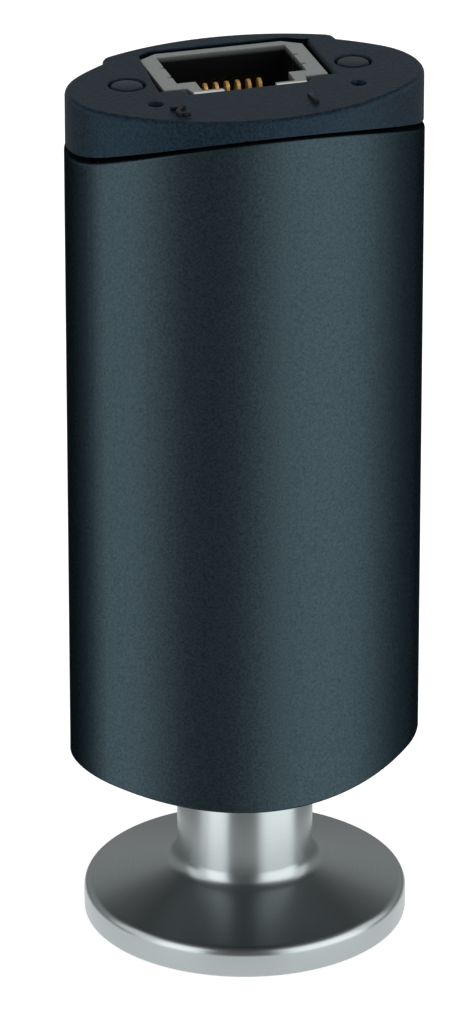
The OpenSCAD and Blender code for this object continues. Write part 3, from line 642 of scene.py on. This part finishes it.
def anodised_sleeve():
    """Bead-blasted aluminium, anodised dark: a soft metallic sheen with a fine sparkle."""
    material, tree, place = new_surface("Dark anodised aluminium")
    sparkle = add_node(tree, "TexNoise", {"Vector": place, "Scale": per(0.2), "Detail": 2.0})
    bump = add_node(tree, "Bump", {"Height": sparkle.outputs["Fac"], "Distance": 0.006 * MM, "Strength": 0.3})
    rough = add_node(tree, "MapRange", {"Value": sparkle.outputs["Fac"], "To Min": 0.36, "To Max": 0.46})
    body = tuple(colours().sleeve)
    shade(tree, base_color=tinted(tree, contrast(tree, sparkle), dim(body, 0.75), dim(body, 1.25)), metallic=1.0,
          roughness=rough.outputs[0], specular_tint=dim(body, 0.5), normal=bump.outputs[0])
    return material


def moulded_cap():
    """ABS moulded in a spark-eroded tool: matte, with a fine even grain; the walls round the socket are painted near
    black as painted shade.
    """
    s, c = sizes(), colours()
    # Painted shade: the cap's walls round the socket, below the top's rounded edge, are painted near black
    margin = Vector((1, 1, 0)) * 2 * s.socket_gap
    shaded_walls = JACK_LOW - margin, Vector((*JACK_HIGH.xy, CAP_HIGH.z - s.opening_edge)) + margin
    return grain_finish("Moulded ABS", tuple(c.cap), 0.22, 0.08, 0.42, spread=0.6, specular=0.3,
                        gloss=tuple(c.gloss), painted_shade_box=shaded_walls)


def moulded_number():
    """ABS from a polished spot of the tool: even, and darker than the grain around it."""
    return grain_finish("Polished ABS", dim(colours().cap, 0.3), 0.3, 0.004, 0.35, specular=0.3)


def filled_socket():
    """Glass-filled PBT, moulded black: its upper face is painted grey as painted light, so that the faces below look
    shaded, and a painted highlight runs along the front of its feet.
    """
    material, tree, place = new_surface("Glass-filled PBT")
    parts = add_node(tree, "SeparateXYZ", {"Vector": place})
    fibres = add_node(tree, "TexNoise", {"Vector": place, "Scale": per(0.3), "Detail": 3.0})
    bump = add_node(tree, "Bump", {"Height": fibres.outputs["Fac"], "Distance": 0.004 * MM, "Strength": 0.4})
    s, c = sizes(), colours()
    # Painted light: the rim's grey with a fibre grain, for the lit upper face
    grainy_rim_light = tinted(tree, fibres.outputs["Fac"], dim(c.rim, 0.8), dim(c.rim, 1.2))
    # Painted highlight along the front half of the feet
    front = add_node(tree, "Math", {0: parts.outputs["Y"], 1: JACK_LOW.y + s.foot / 2}, operation="LESS_THAN")
    lit_rim_and_lip = tinted(tree, front.outputs[0], grainy_rim_light, tuple(c.lip_highlight))
    # Painted light and shade: faces near the top take the grey and the highlight, the faces below keep the black, so
    # the mouth looks shaded
    high = add_node(tree, "MapRange", {"Value": parts.outputs["Z"], "From Min": JACK_HIGH.z - s.rim_rise,
                                       "From Max": JACK_HIGH.z + s.rim_rise})
    shade(tree, base_color=tinted(tree, high.outputs[0], tuple(c.socket), lit_rim_and_lip), roughness=0.35,
          specular_ior_level=0.6, normal=bump.outputs[0])
    return material


def smoky_window():
    """Smoky polycarbonate: glossy and cloudy, lets some light through."""
    material, tree, place = new_surface("Smoky polycarbonate")
    cloud = add_node(tree, "TexNoise", {"Vector": place, "Scale": per(0.9), "Detail": 3.0})
    smoke = tuple(colours().window)
    shade(tree, base_color=tinted(tree, cloud.outputs["Fac"], dim(smoke, 0.75), dim(smoke, 1.2)), roughness=0.3,
          specular_ior_level=0.3, specular_tint=tuple(colours().gloss), transmission_weight=0.1, ior=1.58)
    return material


def gold_plate():
    """Gold over nickel on spring wire: warm and bright."""
    return grain_finish("Gold plating", tuple(colours().gold), 0.4, 0.002, 0.42, metallic=0.6, spread=0.08)


# Finishes with an even grain alone: name, colour, grain and bump in millimetres, roughness, metallic
PLAIN_FINISHES = {
    "spring_steel": ("Spring steel", "#b4b4b6", 0.3, 0.003, 0.3, 1.0),
    "plug_aluminium": ("Blasted aluminium", "#6b7175", 0.2, 0.006, 0.45, 1.0),
    "lamp_body": ("White epoxy", "#e6e4dc", 0.3, 0.002, 0.4, 0.0),
    "switch_plastic": ("Black nylon", "#17181a", 0.2, 0.006, 0.5, 0.0),
    "plunger_plastic": ("Ivory acetal", "#d9d2bd", 0.3, 0.004, 0.4, 0.0),
    "board_laminate": ("Solder mask on glass laminate", "#1d4a33", 0.4, 0.006, 0.35, 0.0),
    "relay_plastic": ("White PBT", "#d8d8d2", 0.3, 0.004, 0.45, 0.0),
    "chip_plastic": ("Black epoxy", "#1b1c1e", 0.15, 0.004, 0.5, 0.0),
    "ferrite": ("Ferrite", "#3a3b3e", 0.2, 0.01, 0.55, 0.0),
    "can_aluminium": ("Drawn aluminium", "#c9cbcd", 0.4, 0.002, 0.3, 1.0),
    "seal_glass": ("Seal glass", "#3d6a6a", 0.5, 0.001, 0.15, 0.0),
    "bead_ceramic": ("White ceramic", "#e8e6e0", 0.2, 0.004, 0.5, 0.0),
    "filament_metal": ("Tungsten wire", "#8c8c90", 0.1, 0.001, 0.35, 1.0),
}

OWN_FINISHES = {
    "stainless": turned_stainless,
    "sleeve_finish": anodised_sleeve,
    "cap_plastic": moulded_cap,
    "number_plastic": moulded_number,
    "jack_plastic": filled_socket,
    "lamp_window": smoky_window,
    "gold_plate": gold_plate,
}

# Finish of each piece that keeps its shape from the frame
NODE_FINISHES = {
    "stainless": ["inlet_screen", "sensor_header", "lock_washer", "lock_nut"],
    "spring_steel": ["screen_ring", "setpoint_cover_1", "setpoint_cover_2"],
    "gold_plate": ["feedthrough_pins", "link_pins"],
    "seal_glass": ["glass_seals"],
    "can_aluminium": ["filter_capacitor", "long_post", "short_post"],
    "filament_metal": ["filament"],
    "bead_ceramic": ["compensation_sensor"],
    "board_laminate": ["connector_board", "main_board"],
    "chip_plastic": ["link_header", "processor_chip", "regulator_chip"],
    "lamp_body": ["status_led_1", "status_led_2"],
    "switch_plastic": ["setpoint_switch_1", "setpoint_switch_2"],
    "plunger_plastic": ["setpoint_plunger_1", "setpoint_plunger_2"],
    "relay_plastic": ["setpoint_relay_1", "setpoint_relay_2"],
    "ferrite": ["power_inductor"],
}

# Materials made so far, by slot
made_finishes = {}


def finish(slot):
    """The material of a slot, made once."""
    if slot not in made_finishes:
        if slot in OWN_FINISHES:
            made_finishes[slot] = OWN_FINISHES[slot]()
        else:
            name, rgb, grain, depth, roughness, metallic = PLAIN_FINISHES[slot]
            made_finishes[slot] = grain_finish(name, linear(rgb), grain, depth, roughness, metallic)
    return made_finishes[slot]


class GAUGE_OT_flange(bpy.types.Operator):
    """Turn the vacuum flange and its neck"""
    bl_idname = "gauge.flange"
    bl_label = "Vacuum flange"

    def execute(self, context):
        s = sizes()
        rim_r, neck_r = FLANGE_HIGH.x, s.neck_diameter / 2
        port_r, bore_r, recess_r = s.port_diameter / 2, s.bore_diameter / 2, s.recess_diameter / 2
        edge = s.turned_edge
        slope = math.degrees(s.cone_angle)
        shoulder_z = PLUG_HIGH.z - s.plug_web
        seat_z, groove_z = SCREEN_HIGH.z, SCREEN_LOW.z
        rim_c = Vector((rim_r - s.rim_edge, s.rim_height - s.rim_edge))
        rim_end = rim_c + s.rim_edge * Vector((math.sin(s.cone_angle), math.cos(s.cone_angle)))
        foot_x = neck_r + s.neck_fillet * (1 - math.sin(s.cone_angle))
        foot_z = rim_end.y + (rim_end.x - foot_x) * math.tan(s.cone_angle)
        fillet_c = (neck_r + s.neck_fillet, foot_z + s.neck_fillet * math.cos(s.cone_angle))
        profile = [
            ((rim_r - edge, 0),),
            ((rim_r - edge, edge), 90),
            ((rim_r, rim_c.y),),
            (rim_c, 90 - slope),
            ((foot_x, foot_z),),
            (fillet_c, slope - 90),
            ((neck_r, shoulder_z),),
            ((s.spigot_diameter / 2, shoulder_z),),
            ((s.spigot_diameter / 2, FLANGE_HIGH.z),),
            ((bore_r, FLANGE_HIGH.z),),
            ((bore_r, seat_z),),
            ((port_r, seat_z),),
            ((port_r, groove_z),),
            ((port_r + s.ring_groove, groove_z),),
            ((port_r + s.ring_groove, groove_z - s.ring_height),),
            ((port_r, groove_z - s.ring_height),),
            ((port_r, s.recess_depth + edge),),
            ((port_r + edge, s.recess_depth),),
            ((recess_r, s.recess_depth),),
            ((recess_r, edge),),
            ((recess_r + edge, 0),),
        ]
        piece = trace("flange", "XZY", (recess_r + edge, 0), profile)
        revolve(piece, TURNED_SIDES)
        hand_over(piece, "turned_flange", "stainless", "vacuum_flange")
        return {"FINISHED"}


class GAUGE_OT_plug(bpy.types.Operator):
    """Model the plug that closes the sleeve round the neck"""
    bl_idname = "gauge.plug"
    bl_label = "Base plug"

    def execute(self, context):
        s = sizes()
        shoulder_z = PLUG_HIGH.z - s.plug_web
        slot_x = BOARD_HIGH.x
        fork_x = NUT_HIGH.x + s.fork_gap - s.slip
        piece = prism("plug", housing_path(SLEEVE_HIGH.x - PLUG_HIGH.x), SLEEVE_LOW.z, PLUG_HIGH.z)
        cut(piece, arch(-s.bottom_arch, PLUG_LOW.z), how="INTERSECT")
        below, above = Vector((0, 0, SLEEVE_LOW.z - MM)), Vector((0, 0, PLUG_HIGH.z + MM))
        cut(piece, bar(s.neck_diameter / 2 + s.slip, below, (0, 0, shoulder_z), sides=TURNED_SIDES))
        cut(piece, bar(s.spigot_diameter / 2 + s.slip, below, above, sides=TURNED_SIDES))
        for side in (-1, 1):
            ends = sorted((side * fork_x, side * (slot_x + MM)))
            cut(piece, block((ends[0], BOARD_LOW.y - s.slip, BOARD_LOW.z - s.slip),
                             (ends[1], BOARD_HIGH.y + s.slip, PLUG_HIGH.z + MM)))
        soften(piece, s.turned_edge, 2, lambda p: p.z < shoulder_z - WELD)
        hand_over(piece, "sleeve_plug", "plug_aluminium", "base_plug")
        return {"FINISHED"}


class GAUGE_OT_sleeve(bpy.types.Operator):
    """Model the oval sleeve with its arched ends and board guides"""
    bl_idname = "gauge.sleeve"
    bl_label = "Housing sleeve"

    def execute(self, context):
        s = sizes()
        piece = prism("sleeve", housing_path(0), SLEEVE_LOW.z - MM, SLEEVE_HIGH.z + MM)
        cut(piece, arch(s.seam_arch, SLEEVE_HIGH.z), arch(-s.bottom_arch, SLEEVE_LOW.z), how="INTERSECT")
        cut(piece, prism("hollow", housing_path(s.wall), SLEEVE_LOW.z - MM, SLEEVE_HIGH.z + MM))
        for side in (-1, 1):
            ends = sorted((side * (BOARD_HIGH.x - s.rib), side * (SLEEVE_HIGH.x - s.wall / 2)))
            for low_y in (BOARD_HIGH.y + s.slip, BOARD_LOW.y - s.slip - s.rib):
                guide = block((ends[0], low_y, PLUG_HIGH.z + s.rib_start), (ends[1], low_y + s.rib, BOARD_HIGH.z))
                cut(piece, guide, how="UNION")
        soften(piece, s.sleeve_edge, 3, lambda p: not PLUG_HIGH.z < p.z < BOARD_HIGH.z + MM)
        hand_over(piece, "oval_sleeve", "sleeve_finish", "housing_sleeve")
        return {"FINISHED"}


class GAUGE_OT_cap(bpy.types.Operator):
    """Model the moulded cap with its openings, skirt and legs"""
    bl_idname = "gauge.cap"
    bl_label = "Top cap"

    def execute(self, context):
        s = sizes()
        top, plate_z = CAP_HIGH.z, CAP_HIGH.z - s.cap_plate
        skirt_z = top - s.skirt_depth
        skirt_inset = s.wall + s.slip
        below, above = skirt_z - MM, top + MM
        piece = prism("cap", housing_path(s.cap_inset), skirt_z, top)
        cut(piece, arch(s.cap_arch, SLEEVE_HIGH.z + s.cap_reveal))
        cut(piece, prism("skirt", housing_path(skirt_inset), skirt_z, plate_z), how="UNION")
        cut(piece, prism("hollow", housing_path(skirt_inset + s.skirt_wall), below, plate_z))
        cut(piece, prism("opening", socket_path(s.socket_gap), below, above))
        lamp, pin = (((low + high) / 2).xy for low, high in ((GUIDE_LOW, GUIDE_HIGH), (STEM_LOW, STEM_HIGH)))
        for place, width in ((lamp, s.lamp_diameter + 2 * s.trim_gap), (pin, s.pin_hole)):
            for side in (-1, 1):
                low, high = (Vector((side * place.x, place.y, z)) for z in (below, above))
                cut(piece, bar(width / 2, low, high))
        self.add_legs(piece, plate_z)
        soften(piece, s.cap_edge, 6, lambda p: p.z > top - WELD and not self.is_opening(p))
        soften(piece, s.opening_edge, 2, lambda p: p.z > top - WELD and self.is_opening(p))
        hand_over(piece, "moulded_cap", "cap_plastic", "top_cap")
        return {"FINISHED"}

    def is_opening(self, point):
        """Whether a point of the cap's top lies on an opening's edge: clear of the end arcs and both face arcs."""
        s = sizes()
        face_r, face_y = face_arc()
        reach = math.hypot(point.x, abs(point.y) + face_y)
        return abs(point.x) < SLEEVE_HIGH.x - s.end_radius / 2 and reach < face_r - s.cap_inset - s.trim_gap

    def add_legs(self, piece, plate_z):
        """Four legs that clip the connector board, each with a hook above and below it."""
        s = sizes()
        end_x = SLEEVE_HIGH.x - s.end_radius
        half = s.leg_width / 2
        outer = math.sqrt((s.end_radius - s.wall - 2 * s.slip) ** 2 - half ** 2)
        inner = outer - s.leg_thickness
        hooks = (CAP_LOW.z, DECK_HIGH.z + s.slip)
        for end in (0, math.pi):
            for bearing in (end - s.leg_angle, end + s.leg_angle):
                parts = [block((inner, -half, CAP_LOW.z), (outer, half, plate_z + s.slip))]
                for z in hooks:
                    parts.append(block((inner - s.hook_reach, -half, z), (inner + s.slip, half, z + s.hook_height)))
                for part in parts:
                    only(part)
                    part.rotation_euler.z = bearing
                    part.location.x = end_x * math.cos(end)
                    settle()
                cut(piece, *parts, how="UNION")


class GAUGE_OT_socket(bpy.types.Operator):
    """Model the modular socket with its stepped mouth"""
    bl_idname = "gauge.socket"
    bl_label = "Socket"

    def execute(self, context):
        s = sizes()
        top = JACK_HIGH.z + s.rim_rise
        above, floor_z = top + MM, JACK_LOW.z + s.socket_floor
        half_w = s.mouth_width / 2
        back_y = JACK_HIGH.y - s.mouth_back
        front_y = back_y - s.mouth_depth
        foot_y = JACK_LOW.y + s.foot
        piece = prism("socket", socket_path(0), JACK_LOW.z, top)
        cut(piece, block((-half_w, front_y, floor_z), (half_w, back_y, above)),
            block((-s.step_width / 2, foot_y, floor_z), (s.step_width / 2, front_y + s.slip, above)),
            block((-s.latch_width / 2, JACK_LOW.y - MM, floor_z), (s.latch_width / 2, foot_y + s.slip, above)))
        bend_top = JACK_HIGH.z - s.wire_drop + s.wire / 2
        for x in wire_places():
            half = s.wire / 2 + 2 * s.slip
            cut(piece, block((x - half, back_y - s.slip, JACK_LOW.z - MM),
                             (x + half, back_y + s.wire + 2 * s.slip, bend_top)))
        for side in (-1, 1):
            for share in NOTCH_SHARES:
                ends = sorted((side * (half_w - s.slip), side * (half_w + s.notch_depth)))
                mid_y = back_y - share * s.mouth_depth
                cut(piece, block((ends[0], mid_y - s.notch_width / 2, top - s.notch_height),
                                 (ends[1], mid_y + s.notch_width / 2, above)))
        soften(piece, s.socket_edge, 2, lambda p: p.z > top - WELD)
        hand_over(piece, "socket_body", "jack_plastic", "jack_housing")
        return {"FINISHED"}


def wire_places():
    """Middles of the contact wires, along the width."""
    s = sizes()
    count = round((WIRE_HIGH.x - WIRE_LOW.x) / s.wire_pitch) + 1
    return [(i - (count - 1) / 2) * s.wire_pitch for i in range(count)]


class GAUGE_OT_contacts(bpy.types.Operator):
    """Bend the spring wires of the socket"""
    bl_idname = "gauge.contacts"
    bl_label = "Contact wires"

    def execute(self, context):
        s = sizes()
        half = s.wire / 2
        turn = 180 - math.degrees(s.wire_lean)
        wall_y = JACK_HIGH.y - s.mouth_back + half + s.slip
        bend_c = Vector((wall_y - s.wire_bend, JACK_HIGH.z - s.wire_drop - s.wire_bend - half))
        out = Vector((-math.cos(s.wire_lean), math.sin(s.wire_lean)))
        down = Vector((-math.sin(s.wire_lean), -math.cos(s.wire_lean))) * s.wire_free
        outer, inner = (bend_c + out * (s.wire_bend + side) for side in (half, -half))
        places = wire_places()
        piece = trace("wire", "YZX", (wall_y + half, WIRE_LOW.z), [
            ((wall_y + half, bend_c.y),),
            (bend_c, turn),
            (outer + down,),
            (inner + down,),
            (inner,),
            (bend_c, -turn),
            ((wall_y - half, WIRE_LOW.z),),
            ((wall_y + half, WIRE_LOW.z),),
        ], level=places[0] - half)
        raise_face(piece, (s.wire, 0, 0))
        soften(piece, s.wire / 5, 2, lambda p: True)
        apply_modifier(piece, "ARRAY", count=len(places), use_relative_offset=False, use_constant_offset=True,
                       constant_offset_displace=(s.wire_pitch, 0, 0))
        hand_over(piece, "contact_wires", "gold_plate", "jack_contacts")
        return {"FINISHED"}


class GAUGE_OT_windows(bpy.types.Operator):
    """Model the two lamp windows with their light guides"""
    bl_idname = "gauge.windows"
    bl_label = "Lamp windows"

    def execute(self, context):
        s = sizes()
        top, window_r, guide_r = GUIDE_HIGH.z, s.lamp_diameter / 2, s.guide_diameter / 2
        collar_high = CAP_HIGH.z - s.cap_plate
        collar_r = (GUIDE_HIGH.x - GUIDE_LOW.x) / 2
        edge = s.window_edge
        crown_r = WINDOW_CROWN * window_r
        crown_turn = math.degrees(math.asin((window_r - edge) / crown_r))
        edge_z = top - crown_r * (1 - math.cos(math.radians(crown_turn))) - edge
        collar_low = collar_high - s.collar_height
        for number, side in PAIR:
            piece = trace("window", "XZY", (0, top), [
                ((0, top - crown_r), -crown_turn),
                ((window_r - edge, edge_z), -90),
                ((window_r, collar_high),),
                ((collar_r, collar_high),),
                ((collar_r, collar_low),),
                ((guide_r, collar_low),),
                ((guide_r, GUIDE_LOW.z),),
                ((0, GUIDE_LOW.z),),
            ])
            middle = (GUIDE_LOW + GUIDE_HIGH) / 2
            revolve(piece, WINDOW_SIDES, (side * middle.x, middle.y))
            hand_over(piece, f"lamp_window_{number}", "lamp_window", f"light_guide_{number}")
        return {"FINISHED"}


class GAUGE_OT_domes(bpy.types.Operator):
    """Press the two snap domes, which flatten under their plungers"""
    bl_idname = "gauge.domes"
    bl_label = "Snap domes"

    def execute(self, context):
        s = sizes()
        low, high, thickness = DOME_LOW.z, DOME_HIGH.z, s.dome_thickness
        middle = (DOME_LOW + DOME_HIGH) / 2
        dome_r = (DOME_HIGH.x - DOME_LOW.x) / 2
        bend_z = low + (high - low) * DOME_CROWN
        for number, side in PAIR:
            piece = trace("dome", "XZY", (0, high - thickness), [
                ((dome_r / 2, bend_z - thickness),),
                ((dome_r - thickness, low),),
                ((dome_r, low),),
                ((dome_r / 2 + thickness, bend_z),),
                ((0, high),),
            ])
            revolve(piece, DOME_SIDES, (side * middle.x, middle.y))
            hand_over(piece, f"snap_dome_{number}", "spring_steel", f"setpoint_dome_{number}")
            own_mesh(piece)
        return {"FINISHED"}


class GAUGE_OT_numerals(bpy.types.Operator):
    """Mould the numbers of the two set points into the cap's top"""
    bl_idname = "gauge.numerals"
    bl_label = "Set-point numbers"

    def execute(self, context):
        s = sizes()
        for text, place in (("2", s.numeral_2), ("1", s.numeral_1)):
            deselect()
            bpy.ops.object.text_add(location=(*place, CAP_HIGH.z), rotation=(0, 0, math.pi))
            piece = bpy.context.object
            piece.data.body = text
            piece.data.align_x = "CENTER"
            piece.data.align_y = "CENTER"
            piece.data.size = s.numeral_height / FIGURE_SHARE
            piece.data.extrude = s.numeral_relief
            piece.data.offset = s.numeral_weight
            piece.data.bevel_depth = s.numeral_relief / 5
            piece.data.bevel_resolution = 2
            bpy.ops.object.convert(target="MESH")
            weld(settle())
            hand_over(piece, f"setpoint_number_{text}", "cap_plastic", look="number_plastic")
        return {"FINISHED"}


class GAUGE_OT_inner(bpy.types.Operator):
    """Give the pieces that keep their shape from the frame their finishes"""
    bl_idname = "gauge.inner"
    bl_label = "Inner pieces"

    def execute(self, context):
        for slot, nodes in NODE_FINISHES.items():
            for node in nodes:
                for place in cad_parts[node].material_slots:
                    place.material = finish(slot)
        return {"FINISHED"}


def background_rays(tree):
    """One for the rays that see the background: camera, glossy and transmission rays."""
    path = add_node(tree, "LightPath")
    seen = path.outputs["Is Camera Ray"]
    for other in ("Is Glossy Ray", "Is Transmission Ray"):
        seen = add_node(tree, "Math", {0: seen, 1: path.outputs[other]}, operation="MAXIMUM").outputs[0]
    return seen


def compass(azimuth, reach):
    """Level point at a bearing from the front, in degrees towards the right."""
    bearing = math.radians(azimuth)
    return Vector((math.sin(bearing), -math.cos(bearing), 0)) * reach


class GAUGE_OT_stage(bpy.types.Operator):
    """Set up the floor, the light and the camera"""
    bl_idname = "gauge.stage"
    bl_label = "Stage"

    def execute(self, context):
        context.scene.view_settings.view_transform = "Standard"
        self.lay_floor()
        self.light_world(context.scene)
        self.hang_panels()
        self.stand_cards()
        self.place_camera(context.scene)
        return {"FINISHED"}

    def lay_floor(self):
        """Pale floor that the camera sees as white, with the object's soft shadow."""
        floor = disc("floor", FLOOR_RADIUS, CAD_BOX[0][2] - FLOOR_DROP, ROUND_SIDES)
        material, tree = new_finish("Matt white card")
        diffuse = add_node(tree, "BsdfDiffuse", {"Color": tuple(colours().floor)})
        glow = add_node(tree, "Math", {0: background_rays(tree), 1: FLOOR_GLOW}, operation="MULTIPLY")
        light = add_node(tree, "Emission", {"Strength": glow.outputs[0]})
        both = add_node(tree, "AddShader", {0: diffuse.outputs[0], 1: light.outputs[0]})
        add_node(tree, "OutputMaterial", {"Surface": both.outputs[0]})
        floor.data.materials.append(material)
        floor.visible_glossy = False

    def light_world(self, scene):
        """Even white surroundings, which light the object more softly than they look."""
        world = bpy.data.worlds.new("Studio")
        world.use_nodes = True
        tree = world.node_tree
        tree.nodes.clear()
        light = add_node(tree, "Background", {"Strength": WORLD_LIGHT})
        seen = add_node(tree, "Background", {"Strength": 1.0})
        for shader in (light, seen):
            shader.inputs["Color"].default_value = (1, 1, 1, 1)
        mixed = add_node(tree, "MixShader", {0: background_rays(tree), 1: light.outputs[0], 2: seen.outputs[0]})
        add_node(tree, "OutputWorld", {"Surface": mixed.outputs[0]})
        scene.world = world

    def hang_panels(self):
        """Tall soft panels left and right, and one overhead."""
        for name, azimuth, width, power in PANELS:
            place = compass(azimuth, PANEL_REACH)
            self.add_panel(name, place, (width, PANEL_HEIGHT), power)
        overhead = self.add_panel("overhead", Vector(OVERHEAD_PLACE), OVERHEAD_EXTENT, OVERHEAD_POWER)
        overhead.visible_glossy = False

    def add_panel(self, name, place, extent, power):
        """Soft rectangular lamp that faces the object and that the camera doesn't see."""
        deselect()
        bpy.ops.object.light_add(type="AREA", location=place, rotation=place.to_track_quat("Z", "Y").to_euler())
        lamp = bpy.context.object
        lamp.name = name
        lamp.data.shape = "RECTANGLE"
        lamp.data.size, lamp.data.size_y = extent
        lamp.data.energy = power
        lamp.visible_camera = False
        return lamp

    def stand_cards(self):
        """Cards that only reflections see: they give metal its dark and its bright bands."""
        for name, first, last, low, high, glow in CARDS:
            card = trace(name, "XYZ", compass(first, CARD_REACH).xy, [((0, 0), last - first)], level=low)
            edit(card)
            bpy.ops.mesh.extrude_region_move(TRANSFORM_OT_translate={"value": (0, 0, high - low)})
            close_edit()
            self.hide_card(card, glow)
        for name, height, reach, glow in DISCS:
            self.hide_card(disc(name, reach, height, DISC_SIDES), glow)

    def hide_card(self, card, glow):
        """Gives a card its brightness and leaves it to the reflections alone."""
        material, tree = new_finish(f"Studio card {card.name}")
        shader = add_node(tree, "Emission", {"Color": (1, 1, 1), "Strength": glow})
        add_node(tree, "OutputMaterial", {"Surface": shader.outputs[0]})
        card.data.materials.append(material)
        card.visible_camera = False
        card.visible_diffuse = False
        card.visible_shadow = False

    def place_camera(self, scene):
        """Camera at the photograph's viewing angle."""
        view = scene.gauge_view
        level = math.cos(view.elevation)
        back = Vector((math.sin(view.azimuth) * level, -math.cos(view.azimuth) * level, math.sin(view.elevation)))
        deselect()
        bpy.ops.object.camera_add(location=Vector(view.aim) + back * view.distance,
                                  rotation=back.to_track_quat("Z", "Y").to_euler())
        camera = bpy.context.object
        camera.data.lens = view.lens
        scene.camera = camera


class GAUGE_PT_panel(bpy.types.Panel):
    """Sizes, colours and pieces of the gauge"""
    bl_idname = "GAUGE_PT_panel"
    bl_label = "Vacuum gauge"
    bl_space_type = "VIEW_3D"
    bl_region_type = "UI"
    bl_category = "Gauge"

    def draw(self, context):
        for operator in OPERATORS:
            self.layout.operator(operator.bl_idname)
        for name, group in GROUPS.items():
            box = self.layout.box()
            for key in group.__annotations__:
                box.prop(getattr(context.scene, name), key)


GROUPS = {"gauge_sizes": GaugeSizes, "gauge_colours": GaugeColours, "gauge_view": GaugeView}
OPERATORS = [GAUGE_OT_flange, GAUGE_OT_plug, GAUGE_OT_sleeve, GAUGE_OT_cap, GAUGE_OT_socket, GAUGE_OT_contacts,
             GAUGE_OT_windows, GAUGE_OT_domes, GAUGE_OT_numerals, GAUGE_OT_inner, GAUGE_OT_stage]


def register():
    """Registers the classes and the scene's properties."""
    for group in [*GROUPS.values(), *OPERATORS, GAUGE_PT_panel]:
        bpy.utils.register_class(group)
    for name, group in GROUPS.items():
        setattr(bpy.types.Scene, name, PointerProperty(type=group))


def unregister():
    """Takes back what register added."""
    for name in GROUPS:
        delattr(bpy.types.Scene, name)
    for group in reversed([*GROUPS.values(), *OPERATORS, GAUGE_PT_panel]):
        bpy.utils.unregister_class(group)


def main():
    """Builds the pieces and the stage."""
    register()
    for operator in OPERATORS:
        group, name = operator.bl_idname.split(".")
        getattr(getattr(bpy.ops, group), name)()


if __name__ == "__main__":
    main()
